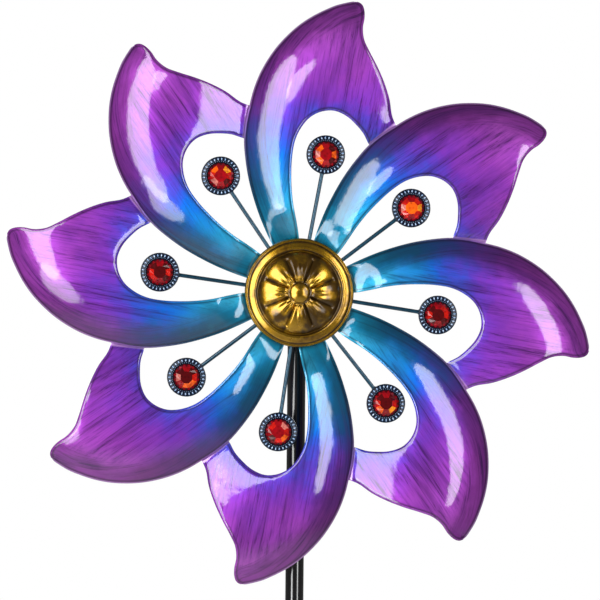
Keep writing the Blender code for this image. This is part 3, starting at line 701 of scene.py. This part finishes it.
# each slot's material, and two for carried-over CAD nodes
METALS = {
    "steel": ("b8b8bc", "8d8d92", (0.28, 0.42)),
    "zinc": ("c9ccd2", "a9a691", (0.24, 0.40)),
    "bearing_steel": ("dcdce0", "bcbcc2", (0.08, 0.18)),
    "cage_brass": ("c8a458", "94743a", (0.22, 0.38)),
}
LOOKS = {
    "petal_paint": petal_material(),
    "hub_gold": gold_material(),
    "bezel_enamel": bezel_material(),
    "stem_paint": stem_material(),
    "red_gem": gem_material(),
    "black_enamel": enamel_material(),
    "nylon": nylon_material(),
}
for name, tones in METALS.items():
    LOOKS[name] = metal_material(name, *tones)


def make_petals():
    points, faces, gaps = petal_sheet()
    flat = bmesh.new()
    verts = [flat.verts.new(tuple(p)) for p in points]
    for face in faces:
        flat.faces.new([verts[i] for i in face])
    bmesh.ops.recalc_face_normals(flat, faces=flat.faces)
    flat.faces.ensure_lookup_table()
    if flat.faces[0].normal.z < 0:
        bmesh.ops.reverse_faces(flat, faces=flat.faces)
    place = WHEEL @ Matrix.Translation((0, 0, PETAL_PLANE))
    for k in range(PETAL_COUNT):
        name = f"petal_skin_{k + 1}"
        mesh = bpy.data.meshes.new(name)
        flat.to_mesh(mesh)
        for key, values in gaps.items():
            set_attribute(mesh, key, values)
        set_attribute(mesh, "seed", np.full(len(points), SEED_STEP * (k + 1)))
        set_attribute(mesh, "along", points, "FLOAT_VECTOR")
        turn = math.radians(FIRST_TIP_DEG) + k * FULL_TURN / PETAL_COUNT
        mesh.transform(Matrix.Rotation(turn, 4, "Z") @ Matrix.Diagonal((SKIN_FIT, SKIN_FIT, 1, 1)))
        mesh.shade_smooth()
        made = piece(name, mesh, place, "wheel", "petal_paint", [f"petal_{k + 1}"])
        sheet = made.modifiers.new("sheet", "SOLIDIFY")
        sheet.thickness = SHEET
        sheet.offset = 0
        sheet.use_even_offset = True
        edge = made.modifiers.new("edge", "BEVEL")
        edge.width = ROLLED_EDGE
        edge.segments = 2
        edge.limit_method = "ANGLE"
        edge.angle_limit = SHARP_EDGE
    flat.free()


# ---------------- jewels
# Outlines of (radius, height) in mm: the bead of weld under a bezel's edge, and the bezel's dish.
WELD_LINE = ((0, -2.2), (1.5, -1.9), (2.6, -0.6), (2.9, 0.8), (2.2, 1.9), (0, 2.2))
WELD_FLATTENING = 0.82
WELD_CIRCLE = JEWEL_CIRCLE_RADIUS - 18.6 * MM
DISH_LINE = (
    (0.0, 0.0), (17.0, 0.0), (19.4, 0.6), (20.0, 1.8), (19.8, 2.6), (19.2, 2.9), (18.7, 2.6),
    (16.0, 3.3), (15.7, 3.7), (14.9, 4.2), (14.2, 3.4), (14.2, 1.9), (0.0, 1.9),
)
# A bezel's raised rows: count, circle radius, height and half sizes in mm, roundness, first one's place.
RAISED_ROWS = (
    (29, 17.3, 3.0, (1.5, 0.72, 1.0), 2, 0.0),
    (44, 14.9, 3.8, (0.62, 0.62, 0.6), 1, 0.5),
)
# the pale rub starts at this height on the raised rows, and is faint inside this radius
RUB_START = 2.9 * MM
RUB_FADE = 0.5 * MM
RUB_RADIUS = 16 * MM
FAINT_RUB = 0.35


def make_stem(k, turn):
    place = WHEEL @ Matrix.Translation((0, 0, STEM_PLANE)) @ Matrix.Rotation(turn, 4, "Z")
    start, end = STEM_ROOT_RADIUS, JEWEL_CIRCLE_RADIUS - 3 * MM
    rod = rounded([(0, start), (STEM_RADIUS, start), (STEM_RADIUS, end), (0, end)], 0.5 * MM)
    bm = bmesh.new()
    lathe_into(bm, rod, 20, place=Matrix.Rotation(math.pi / 2, 4, "Y"))
    at_rim = Matrix.Translation((WELD_CIRCLE, 0, 0)) @ Matrix.Scale(WELD_FLATTENING, 4, (0, 0, 1))
    lathe_into(bm, [in_mm(p) for p in WELD_LINE], 16, place=at_rim)
    piece(f"stem_rod_{k + 1}", bm, place, "wheel", "stem_paint", [f"stem_{k + 1}"], 50)


def make_bezel(k, place):
    """A shallow dish with a row of raised bars, a row of fine beads and a claw edge round the jewel."""
    bm = bmesh.new()
    lathe_into(bm, rounded([in_mm(p) for p in DISH_LINE], 0.35 * MM, 2), 72)
    plain = len(bm.verts)
    for count, circle, height, half_sizes, rounds, first in RAISED_ROWS:
        for i in range(count):
            turn = Matrix.Rotation(FULL_TURN * (i + first) / count, 4, "Z")
            spot = turn @ Matrix.Translation(in_mm((circle, 0, height)))
            bead_into(bm, spot, in_mm(half_sizes), rounds)
    mesh = to_mesh(f"bezel_ring_{k + 1}", bm)
    heights = np.array([v.co.z for v in mesh.vertices])
    far = np.array([v.co.xy.length for v in mesh.vertices]) > RUB_RADIUS
    share = np.clip((heights - RUB_START) / RUB_FADE, 0, 1) * np.where(far, 1.0, FAINT_RUB)
    share[:plain] = 0.0
    set_attribute(mesh, "bead", share)
    piece(f"bezel_ring_{k + 1}", mesh, place, "wheel", "bezel_enamel", [f"bezel_{k + 1}"], 50)


# the resin's reds; scarlet, orange, amber and rose are painted reflections on facets
CRIMSON = srgb("960612")
GARNET = srgb("4c0306")
SCARLET = srgb("c8180c")
ORANGE = srgb("ff6410")
AMBER = srgb("ff961c")
ROSE = srgb("e07c70")
# For each jewel: the table's painted tint, then the crown facets' painted reflections, by direction in
# degrees.
JEWEL_PAINTED_FLASHES = (
    (ORANGE, {0: AMBER, 180: ROSE, 135: SCARLET, 225: SCARLET, 45: SCARLET, 315: SCARLET}),
    (CRIMSON, {0: ORANGE, 135: ORANGE, 180: ROSE, 225: ORANGE}),
    (CRIMSON, {45: AMBER, 0: SCARLET, 135: ORANGE, 180: SCARLET, 225: ROSE}),
    (GARNET, {0: SCARLET, 180: SCARLET, 225: SCARLET}),
    (GARNET, {180: ROSE, 225: CRIMSON, 270: ORANGE, 315: ORANGE, 0: SCARLET}),
    (CRIMSON, {45: ROSE, 315: ORANGE, 0: SCARLET, 270: SCARLET, 135: SCARLET}),
    (GARNET, {225: ORANGE, 180: SCARLET, 315: AMBER, 0: SCARLET}),
    (GARNET, {0: SCARLET, 180: SCARLET, 45: SCARLET}),
)
FIRST_JEWEL_SEED = 40


def make_jewel(k, place, turn):
    """A resin gem: octagonal table, eight crown facets, sixteen girdle facets and a foiled back."""
    table_tint, lights = JEWEL_PAINTED_FLASHES[k]
    rng = random.Random(FIRST_JEWEL_SEED + k)
    bm = bmesh.new()
    layer = bm.verts.layers.float_color.new("tint")

    def ring(radius, height, sides, shift=0.5):
        """Places round the gem's axis, for a radius and a height in mm."""
        angles = [FULL_TURN * (i + shift) / sides - turn for i in range(sides)]
        return [in_mm((radius * math.cos(a), radius * math.sin(a), height)) for a in angles]

    def facet(corners, tint):
        share = rng.uniform(0.85, 1.1)
        made = [bm.verts.new(c) for c in corners]
        for v in made:
            v[layer] = (*(min(1.0, t * share) for t in tint), 1.0)
        bm.faces.new(made)

    table = ring(6.5, 6.6, 8)
    crown = ring(11.3, 3.6, 8)
    star = ring(10.7, 4.2, 8, 0.0)
    girdle = ring(13.5, 1.3, 16)
    back = ring(13.5, 0.1, 16)
    facet(table, table_tint)
    for i in range(8):
        a, b = (i - 1) % 8, i
        mid = star[i]
        left, middle, right = [girdle[(2 * i + step) % 16] for step in (-1, 0, 1)]
        tint = lights.get(360 * i // 8, GARNET if i % 2 else CRIMSON)
        facet([table[a], crown[a], mid, crown[b], table[b]], tint)
        facet([crown[a], left, mid], CRIMSON)
        facet([mid, left, middle], GARNET)
        facet([mid, middle, crown[b]], CRIMSON)
        facet([crown[b], middle, right], GARNET)
    for i in range(16):
        facet([girdle[i], girdle[(i + 1) % 16], back[(i + 1) % 16], back[i]], GARNET)
    facet(back, GARNET)
    piece(f"jewel_cut_{k + 1}", bm, place, "wheel", "red_gem", [f"jewel_{k + 1}"])


def make_jewel_stems():
    for k in range(PETAL_COUNT):
        turn = math.radians(FIRST_JEWEL_DEG + STEM_SPLAY_DEG[k]) + k * FULL_TURN / PETAL_COUNT
        turned = Matrix.Rotation(turn, 4, "Z")
        spot = Vector((math.cos(turn), math.sin(turn), 0)) * JEWEL_CIRCLE_RADIUS
        seat = spot + Vector((0, 0, BEZEL_BACK))
        floor = seat + Vector((0, 0, BEZEL_FLOOR + GAP))
        make_stem(k, turn)
        make_bezel(k, WHEEL @ Matrix.Translation(seat) @ turned)
        make_jewel(k, WHEEL @ Matrix.Translation(floor) @ turned, turn)


# ---------------- hub cap
# Outlines of (radius, height) in mm: the cap's front, then its inside with the tube that covers the axle.
CAP_LINE = (
    (0.0, 20.2), (3.0, 20.0), (6.5, 18.9), (9.6, 17.4), (10.8, 15.4), (12.0, 15.2), (16.0, 16.0),
    (22.0, 15.6), (30.0, 13.2), (37.0, 10.2), (41.0, 7.8), (43.2, 6.4), (44.3, 7.5), (45.4, 7.9),
    (48.5, 7.0), (51.4, 5.8), (52.6, 4.7), (53.4, 4.4), (54.7, 4.5), (55.7, 3.1), (56.0, 1.4), (55.7, 0.1),
)
CAP_INSIDE = (
    (54.6, 0.1), (54.0, 2.4), (51.0, 2.4), (40.0, 6.0), (28.0, 11.0), (12.0, 13.4),
    (8.0, 13.4), (8.0, -4.1), (4.3, -4.1), (4.3, 9.3), (0, 9.3),
)
CAP_RINGS = 110
CAP_SIDES = 192
LOBES = 8
BOSS_RADIUS = 9.4
BEAD_CIRCLE = 11.0
FLOWER_RADIUS = 43.5
INSIDE_HOLLOW = 0.4


def cap_relief(r, angle):
    """Lift in mm above the cap's plain line, and how deep the place sits, for a radius in mm and an angle."""
    lift, hollow = 0.0, 0.15
    lobe = (angle / (FULL_TURN / LOBES) + 0.5) % 1.0 - 0.5
    across = abs(lobe) * 2
    if BEAD_CIRCLE < r < FLOWER_RADIUS:
        end = 41.8 - 3.4 * across**2.4
        fade_in = float(ease((r - BEAD_CIRCLE) / 3.0))
        fade_out = float(ease((end - r) / 3.2))
        dome = math.sqrt(max(0.0, 1 - across**2.2))
        lift += (-1.9 + 2.9 * dome) * fade_in * fade_out
        flutes = math.cos(lobe * FULL_TURN * 3) * 0.42 * float(ease((37.0 - r) / 18.0))
        lift += flutes * fade_in * dome
        lift -= 0.9 * float(ease((r - end) / 1.6)) * float(ease((43.6 - r) / 1.6))
        hollow = 0.12 + 0.75 * (1 - dome) + 0.25 * (1 - fade_out)
    if BOSS_RADIUS < r < 12.6:
        notch = 0.5 + 0.5 * math.cos(angle * LOBES)
        lift += 1.1 * (1 - abs(r - BEAD_CIRCLE) / 1.6) * (1 - 0.75 * notch)
        hollow = 0.55
    if r < BOSS_RADIUS:
        hollow = 0.1
    # the channels inside and outside the broad band
    if 43.0 < r < 44.8 or 51.6 < r < 53.2:
        hollow = 0.75
    return lift, hollow


def make_hub_cap():
    """The stamped cap: a beaded boss in a rosette of lobes, a channel, a broad band and a rolled rim."""
    line = [np.array((r, h, 0.0)) for r, h in CAP_LINE]
    bm = bmesh.new()
    hollows = []

    def front_ring(r, h, sides):
        def at(angle):
            lift, hollow = cap_relief(r, angle)
            hollows.append(hollow)
            return r * MM, (h + lift) * MM

        return ring_of(bm, sides, at)

    rings = [front_ring(*CAP_LINE[0], 1)]
    for i in range(1, CAP_RINGS + 1):
        r, h, _ = smooth_line(line, (len(line) - 1) * i / CAP_RINGS)
        rings.append(front_ring(r, h, CAP_SIDES))
    for r, h in CAP_INSIDE:
        rings.append(ring_of(bm, CAP_SIDES if r else 1, (r * MM, h * MM)))
    skin(bm, rings)
    mesh = to_mesh("rosette_cap", bm)
    hollows += [INSIDE_HOLLOW] * (len(mesh.vertices) - len(hollows))
    set_attribute(mesh, "hollow", np.array(hollows))
    place = WHEEL @ Matrix.Translation((0, 0, CAP_RIM))
    piece("rosette_cap", mesh, place, "wheel", "hub_gold", ["hub_cap"], 60)


# ---------------- axle and plate
FLANGE_RADIUS = 20 * MM
FLANGE_THICKNESS = 4 * MM
SPOT_WELDS = 3
SPOT_WELD_CIRCLE = 20.6 * MM
SPOT_WELD_SIZE = in_mm((1.6, 4.2, 1.3))
THREAD_PITCH = 1.25 * MM
THREAD_TURNS = 3


def washer_outline(radius, back, front):
    """A flat ring's section, round the axle with a gap."""
    bore = AXLE_RADIUS + GAP
    return [(bore, back), (radius, back), (radius, front), (bore, front)]


def make_plate():
    outline = washer_outline(PLATE_RADIUS, PLATE_BACK, PLATE_FRONT)
    bm = bmesh.new()
    lathe_into(bm, rounded(outline, 0.5 * MM, closed=True), 96, closed=True)
    # spot welds between the axle's flange and the plate
    for i in range(SPOT_WELDS):
        turn = FULL_TURN * (i + 0.2) / SPOT_WELDS
        x, y = SPOT_WELD_CIRCLE * math.cos(turn), SPOT_WELD_CIRCLE * math.sin(turn)
        spot = Matrix.Translation((x, y, PLATE_BACK)) @ Matrix.Rotation(turn, 4, "Z")
        bead_into(bm, spot, SPOT_WELD_SIZE)
    piece("weld_plate", bm, WHEEL, "wheel", "steel", ["hub_plate"], 50)


def make_axle():
    back, front = NUT_BACK - 3 * MM, CAP_RIM + 9 * MM
    race_front = HOUSING_FRONT - GAP
    shoulder = AXLE_RADIUS + 2.2 * MM
    flange_front = PLATE_BACK - GAP
    flange_back = flange_front - FLANGE_THICKNESS
    outline = [
        (0, back), (AXLE_RADIUS - 0.5 * MM, back), (AXLE_RADIUS, race_front), (shoulder, HOUSING_FRONT),
        (shoulder, flange_back), (FLANGE_RADIUS, flange_back), (FLANGE_RADIUS, flange_front),
        (AXLE_RADIUS, flange_front), (AXLE_RADIUS, front), (0, front),
    ]
    line = rounded(outline, 0.4 * MM)
    thread_start, thread_end = back + 0.8 * MM, NUT_BACK + MM
    threads = []
    for i in range(THREAD_TURNS):
        crest = thread_start + i * THREAD_PITCH
        threads.append((AXLE_RADIUS - 0.05 * MM, crest))
        threads.append((AXLE_RADIUS - 0.55 * MM, crest + THREAD_PITCH / 2))
    before = [p for p in line if p.y < thread_start]
    after = [p for p in line if p.y > thread_end + THREAD_PITCH]
    bm = bmesh.new()
    lathe_into(bm, before + threads + after, 48)
    piece("flanged_axle", bm, WHEEL, "wheel", "steel", ["axle"], 40)


def hexagon_nut(name, corner, bore, low, high, place, body, node):
    """A nut with chamfered corners: the turned chamfers cut the six flats into arcs."""
    half_side = math.pi / 6
    flat = corner * math.cos(half_side)
    chamfer = (corner - flat) * 0.62
    lip = 0.5 * MM
    face = flat * 0.97

    def on_flats(height, outward):
        def at(angle):
            r = flat / math.cos((angle + half_side) % (2 * half_side) - half_side)
            return r, height + outward * chamfer * (1 - (r - flat) / (corner - flat))

        return at

    stations = (
        (bore + lip, low), (face, low), on_flats(low + chamfer, -1), on_flats(high - chamfer, 1),
        (face, high), (bore + lip, high), (bore, high - lip), (bore, low + lip),
    )
    bm = bmesh.new()
    skin(bm, [ring_of(bm, 48, at) for at in stations], closed=True)
    piece(name, bm, place, body, "zinc", [node], 35)


def make_axle_fixings():
    hexagon_nut("lock_nut", 7.5 * MM, AXLE_RADIUS + GAP, NUT_BACK, NUT_FRONT, WHEEL, "wheel", "axle_nut")
    outline = washer_outline(6 * MM, WASHER_BACK, HOUSING_BACK)
    turned("thrust_washer", outline, 0.25 * MM, 48, WHEEL, "wheel", "zinc", "axle_washer", 2)


# ---------------- head
SPINDLE_REACH = 112 * MM
SPINDLE_TOP = HUB_HEIGHT - 13 * MM
COLLAR_THICKNESS = 3 * MM
GROOVE_RADIUS = 4.4 * MM
GROOVE_WIDTH = 6 * MM
WELD_ROWS = 12


def make_cross_tube():
    """The tube with a seat for a bearing at each end."""
    seat, inner, depth = BEARING_RADIUS + GAP, 9 * MM, BEARING_WIDTH + 2 * GAP
    front_step, back_step = HOUSING_FRONT - depth, HOUSING_BACK + depth
    outline = [
        (seat, HOUSING_BACK), (HOUSING_RADIUS, HOUSING_BACK), (HOUSING_RADIUS, HOUSING_FRONT),
        (seat, HOUSING_FRONT), (seat, front_step), (inner, front_step), (inner, back_step), (seat, back_step),
    ]
    turned("cross_tube", outline, 0.6 * MM, 80, WHEEL, "head", "black_enamel", "bearing_housing")


def make_socket():
    """The socket that the spindle is pressed into, with a weld fillet up to the cross tube."""
    weld_start = SOCKET_BOTTOM + 0.9 * MM

    def on_weld(share):
        def at(angle):
            # the weld climbs from the socket's side onto the cross tube, which runs along Y
            r = SOCKET_RADIUS + 2.2 * MM * share**2.2
            x = r * math.cos(angle)
            weld_end = HUB_HEIGHT - math.sqrt(max(HOUSING_RADIUS**2 - x * x, 0.0)) + 0.5 * MM
            ripple = 0.12 * MM * math.sin(angle * 26) * share
            return r, weld_start + (weld_end - weld_start) * share**0.8 + ripple

        return at

    stations = [(6.3 * MM, SOCKET_BOTTOM + 0.4 * MM), (6.7 * MM, SOCKET_BOTTOM)]
    stations += [(SOCKET_RADIUS - 0.5 * MM, SOCKET_BOTTOM), (SOCKET_RADIUS, SOCKET_BOTTOM + 0.5 * MM)]
    stations += [on_weld(j / WELD_ROWS) for j in range(WELD_ROWS + 1)]
    stations.append((SOCKET_RADIUS * 0.6, HUB_HEIGHT - 9.6 * MM))
    bm = bmesh.new()
    skin(bm, [ring_of(bm, 64, at) for at in stations], capped=True)
    piece("welded_socket", bm, Matrix(), "head", "black_enamel", [], 40)


def make_spindle():
    """The pin with its thrust collar. Returns the height of the groove that the screw holds it by."""
    collar_top = SOCKET_BOTTOM - GAP
    collar_bottom = collar_top - COLLAR_THICKNESS
    lowest = SOCKET_BOTTOM - SPINDLE_REACH
    groove = (collar_bottom + lowest) / 2
    groove_low, groove_high = groove - GROOVE_WIDTH / 2, groove + GROOVE_WIDTH / 2
    r = SPINDLE_RADIUS
    outline = [
        (0, lowest), (r - MM, lowest), (r, lowest + MM), (r, groove_low), (GROOVE_RADIUS, groove_low),
        (GROOVE_RADIUS, groove_high), (r, groove_high), (r, collar_bottom), (SOCKET_RADIUS, collar_bottom),
        (SOCKET_RADIUS, collar_top), (r, collar_top), (r, SPINDLE_TOP), (0, SPINDLE_TOP),
    ]
    turned("turned_spindle", outline, 0.4 * MM, 48, Matrix(), "head", "steel", "swivel_spindle", 2)
    return groove


# ---------------- pole
SWAGE_RADIUS = 8.0 * MM
SWAGE_BORE = 6.8 * MM
FORK_BOLT_HEIGHT = POLE_BOTTOM + 36 * MM
BOLT_SEAT = POLE_RADIUS + GAP
BUSHING_BORE = 6.3 * MM
BUSHING_LENGTH = 22 * MM
FORWARD = Matrix.Rotation(math.pi / 2, 4, "X")
BACKWARD = Matrix.Rotation(-math.pi / 2, 4, "X")


def make_tube(name, bottom, top, swaged, node):
    """A drawn tube with rolled ends. Its swaged end slides into the section above."""
    bore, rolled = POLE_BORE, 0.6 * MM
    outline = [(bore, bottom), (POLE_RADIUS, bottom, 0.5 * MM)]
    if swaged:
        shoulder, end = top - GAP, top + SWAGE_LENGTH
        outline += [(POLE_RADIUS, shoulder, rolled), (SWAGE_RADIUS, shoulder), (SWAGE_RADIUS, end, rolled)]
        outline += [(SWAGE_BORE, end), (SWAGE_BORE, shoulder), (bore, top - 4.3 * MM)]
    else:
        outline += [(POLE_RADIUS, top, rolled), (bore, top)]
    turned(name, outline, 0.25 * MM, 64, Matrix(), "root", "black_enamel", node)


def dome_bolt(name, shank_end, height, node, turned, head=(4.6 * MM, 2.8 * MM), shank=BOLT_RADIUS):
    """A round-headed bolt with a cross recess, which lies across the pole at a height."""
    head_radius, head_height = head
    brim = BOLT_SEAT + 0.8 * MM
    crown = head_height - 0.8 * MM
    outline = [(0, shank_end), (shank - 0.4 * MM, shank_end), (shank, shank_end + 0.6 * MM)]
    outline += [(shank, BOLT_SEAT), (head_radius, BOLT_SEAT), (head_radius, brim)]
    steps = 16
    for i in range(1, steps):
        angle = i / steps * math.pi / 2
        outline.append((head_radius * math.cos(angle), brim + crown * math.sin(angle)))
    outline.append((0, BOLT_SEAT + head_height))
    bm = bmesh.new()
    lathe_into(bm, outline, 96)
    # press the cross recess into the head
    for v in bm.verts:
        narrow, wide = sorted((abs(v.co.x), abs(v.co.y)))
        if v.co.z > brim + 0.1 * MM and narrow < 0.62 * MM and wide < head_radius * 0.56:
            v.co.z -= 1.1 * MM
    place = Matrix.Translation((0, 0, height)) @ turned
    piece(name, bm, place, "root", "zinc", [node], 40)


def make_pole(groove_height):
    make_tube("top_tube", UPPER_JOINT, POLE_TOP, False, "upper_pole")
    make_tube("centre_tube", LOWER_JOINT, UPPER_JOINT, True, "middle_pole")
    make_tube("bottom_tube", POLE_BOTTOM, LOWER_JOINT, True, "lower_pole")
    for name, joint in (("upper", UPPER_JOINT), ("lower", LOWER_JOINT)):
        height = joint + SWAGE_LENGTH / 2
        dome_bolt(f"{name}_section_bolt", -BOLT_SEAT - 5.5 * MM, height, f"{name}_joint_bolt", FORWARD)
        place = Matrix.Translation((0, 0, height)) @ FORWARD
        thread, low = BOLT_RADIUS + 0.2 * MM, -BOLT_SEAT - 4 * MM
        nut = f"{name}_joint_nut"
        hexagon_nut(f"{name}_section_nut", 4.6 * MM, thread, low, -BOLT_SEAT, place, "root", nut)
    small_head = in_mm((3.8, 2.5))
    dome_bolt("keeper_screw", 5 * MM, groove_height, "retaining_screw", BACKWARD, small_head, 2 * MM)
    dome_bolt("fork_clamp_bolt", 4.5 * MM, FORK_BOLT_HEIGHT, "fork_bolt", BACKWARD, in_mm((4.6, 2.9)))


def make_bushing():
    flange_low = POLE_TOP + GAP
    flange_high = flange_low + 1.7 * MM
    end = flange_high - BUSHING_LENGTH
    sleeve = POLE_BORE - GAP
    outline = [
        (BUSHING_BORE, end), (sleeve, end), (sleeve, flange_low),
        (POLE_RADIUS, flange_low), (POLE_RADIUS, flange_high), (BUSHING_BORE, flange_high),
    ]
    turned("flanged_bushing", outline, 0.4 * MM, 64, Matrix(), "root", "nylon", "top_bushing")


# ---------------- ground fork
POINT_LENGTH = 32 * MM
POINT_WIDTH = 1.5 * MM
BAR_CORNER = 0.7 * MM
FORK_WELD_RADIUS = 7.5 * MM
FORK_WELD_SPREAD = 4.3 * MM


def bar_section(point, out, width):
    """The bar's section at a station: a rectangle with rounded corners."""
    corner = min(BAR_CORNER, width * 0.3)
    ring = []
    for side_y, side_n in ((1, 1), (-1, 1), (-1, -1), (1, -1)):
        angles = (0, math.pi / 4, math.pi / 2)
        for angle in angles if side_y == side_n else reversed(angles):
            y = side_y * (width / 2 - corner + corner * math.cos(angle))
            n = side_n * (BAR_THICKNESS / 2 - corner + corner * math.sin(angle))
            ring.append(point + out * n + Vector((0, y, 0)))
    return ring


def make_fork_bar(name, node, turn):
    """A flat bar bent down at both ends into pointed prongs, with rolled corners."""
    low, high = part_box(node)
    centre = Vector((FORK_SPAN / 2 - FORK_BEND, 0, high.z - BAR_THICKNESS / 2 - FORK_BEND))
    stations = []
    for i in range(9):
        share = i / 8
        width = POINT_WIDTH + (BAR_WIDTH - POINT_WIDTH) * share**0.85
        stations.append((Vector((FORK_SPAN / 2, 0, low.z + POINT_LENGTH * share)), Vector((1, 0, 0)), width))
    for i in range(13):
        angle = math.pi / 2 * i / 12
        out = Vector((math.cos(angle), 0, math.sin(angle)))
        stations.append((centre + out * FORK_BEND, out, BAR_WIDTH))
    mirrored = Vector((-1, 1, 1))
    stations += [(point * mirrored, out * mirrored, width) for point, out, width in reversed(stations)]
    bm = bmesh.new()
    rings = [[bm.verts.new(corner) for corner in bar_section(*station)] for station in stations]
    skin(bm, rings, capped=True)
    place = Matrix.Rotation(turn, 4, "Z")
    piece(name, bm, place, "root", "black_enamel", [node], 40)


def make_fork_weld():
    """The weld that holds the post's foot and the crossed bars."""
    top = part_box("fork_bar_front_to_back")[1].z
    sink = 0.05 * MM

    def on_weld(share, drop=0.0):
        def at(angle):
            ripple = 0.16 * MM * math.sin(angle * 30 + share * 2)
            r = FORK_WELD_RADIUS + FORK_WELD_SPREAD * (1 - share) ** 1.6 + ripple * (1 - share)
            on_bar = abs(r * math.cos(angle)) < BAR_WIDTH / 2
            beside_bar = 0.0 if on_bar else BAR_THICKNESS * 0.35
            return r, top - beside_bar + 0.28 * MM * share - sink - drop

        return at

    stations = [on_weld(0.0, 1.2 * MM)] + [on_weld(share) for share in (0.0, 0.25, 0.5, 0.75, 1.0)]
    bm = bmesh.new()
    skin(bm, [ring_of(bm, 72, at) for at in stations], capped=True)
    piece("fork_weld", bm, Matrix(), "root", "black_enamel", [], 50)


# ---------------- carried-over CAD nodes
CAD_FINISHES = {
    "zinc": ("bearing_spacer",),
    "bearing_steel": ("inner_race_front", "inner_race_rear", "outer_race_front", "outer_race_rear"),
    "cage_brass": ("ball_cage_front", "ball_cage_rear"),
    "nylon": ("bottom_bushing",),
    "black_enamel": ("fork_post",),
}


def finish_cad_nodes():
    for look, names in CAD_FINISHES.items():
        for name in names:
            materials = frame["nodes"][name].data.materials
            materials.clear()
            materials.append(LOOKS[look])


make_petals()
make_jewel_stems()
make_hub_cap()
make_plate()
make_axle()
make_axle_fixings()
make_cross_tube()
make_socket()
make_pole(make_spindle())
make_bushing()
make_fork_bar("prong_bar_across", "fork_bar_side_to_side", 0)
make_fork_bar("prong_bar_forward", "fork_bar_front_to_back", math.pi / 2)
make_fork_weld()
finish_cad_nodes()


# ---------------- floor, light and camera
FLOOR_RADIUS = 9.0
FLOOR_GLOW = 1.25
FLOOR_GLOW_SHARE = 0.75
# what the world sheds on the object, and what the camera sees of it
WORLD_LIGHT = 0.13
WORLD_SEEN = 1.0
# soft lights that face the hub: degrees to its right and above it, metres away, width, height and watts
SOFTBOXES = {
    "left_box": (-36, 8, 2.2, 0.95, 2.4, 38),
    "high_box": (-19, 21, 2.2, 0.55, 0.5, 4.5),
    "low_box": (-36, -22, 2.2, 0.8, 0.7, 7),
    "right_box": (36, 5, 2.2, 0.7, 2.0, 25),
    "back_box": (150, 20, 2.4, 1.0, 1.6, 20),
}
CAMERA_SIDE_DEG = -2.5
CAMERA_ROLL_DEG = 0.55
CAMERA_DISTANCE = 3.2
SENSOR_WIDTH = 36
# what the picture shows: its width at the wheel, and its middle's place beside and below the hub
VIEW_WIDTH = 617 * MM
AIM_RIGHT = 1.13 * MM
AIM_DOWN = 7.4 * MM


def make_floor():
    bm = bmesh.new()
    bmesh.ops.create_circle(bm, cap_ends=True, segments=96, radius=FLOOR_RADIUS)
    mesh = to_mesh("floor", bm)
    n = Nodes("pale_floor")
    cloud = n.noise(n.here(), 3, 3, 0.5)
    color = n.mix(cloud, "f4f4f2", "ededeb")
    n.finish(Base_Color=color, Roughness=n.spread(cloud, 0, 1, 0.6, 0.7))
    # the floor looks evenly lit, but throws no more light on the object than a shaded floor would
    glow = n.add("ShaderNodeEmission", Color=color, Strength=FLOOR_GLOW)
    seen = n.times(n.add("ShaderNodeLightPath").outputs["Is Camera Ray"], FLOOR_GLOW_SHARE)
    both = n.add("ShaderNodeMixShader", i0=seen, i1=n.shader, i2=glow)
    n.feed(n.tree.nodes["Material Output"].inputs["Surface"], both)
    mesh.materials.append(n.material)
    floor = link_new("floor", mesh)
    floor.location = (0, 0, CAD_BOX[0].z - 0.5 * MM)


def make_world():
    world = bpy.data.worlds.new("studio")
    bpy.context.scene.world = world
    world.use_nodes = True
    tree = world.node_tree
    mixed = tree.nodes.new("ShaderNodeMixShader")
    path = tree.nodes.new("ShaderNodeLightPath")
    tree.links.new(path.outputs["Is Camera Ray"], mixed.inputs[0])
    backgrounds = (tree.nodes["Background"], tree.nodes.new("ShaderNodeBackground"))
    for i, (node, strength) in enumerate(zip(backgrounds, (WORLD_LIGHT, WORLD_SEEN))):
        node.inputs["Color"].default_value = (1, 1, 1, 1)
        node.inputs["Strength"].default_value = strength
        tree.links.new(node.outputs[0], mixed.inputs[i + 1])
    tree.links.new(mixed.outputs[0], tree.nodes["World Output"].inputs[0])


def make_softbox(name, azimuth_deg, elevation_deg, distance, width, height, power):
    lamp = bpy.data.lights.new(name, "AREA")
    lamp.shape = "ELLIPSE"
    lamp.size, lamp.size_y = width, height
    lamp.energy = power
    azimuth, elevation = math.radians(azimuth_deg), math.radians(elevation_deg)
    level = Vector((math.sin(azimuth), -math.cos(azimuth), 0)) * math.cos(elevation)
    out = level + Vector((0, 0, math.sin(elevation)))
    made = link_new(name, lamp)
    made.location = Vector((0, 0, HUB_HEIGHT)) + out * distance
    made.rotation_euler = (-out).to_track_quat("-Z", "Y").to_euler()


def make_camera():
    azimuth = math.radians(CAMERA_SIDE_DEG)
    back = Vector((math.sin(azimuth), -math.cos(azimuth), 0))
    right = Vector((math.cos(azimuth), math.sin(azimuth), 0))
    target = Vector((0, -PETAL_PLANE, HUB_HEIGHT - AIM_DOWN)) + right * AIM_RIGHT
    data = bpy.data.cameras.new("camera")
    data.sensor_width = SENSOR_WIDTH
    data.lens = SENSOR_WIDTH * CAMERA_DISTANCE / VIEW_WIDTH
    camera = link_new("camera", data)
    camera.location = target + back * CAMERA_DISTANCE
    look = (-back).to_track_quat("-Z", "Y").to_matrix().to_4x4()
    roll = Matrix.Rotation(math.radians(CAMERA_ROLL_DEG), 4, "Z")
    camera.rotation_euler = (look @ roll).to_euler()
    bpy.context.scene.camera = camera


make_floor()
make_world()
for name, setting in SOFTBOXES.items():
    make_softbox(name, *setting)
make_camera()
bpy.context.scene.view_settings.view_transform = "Standard"

bpy.context.view_layer.update()
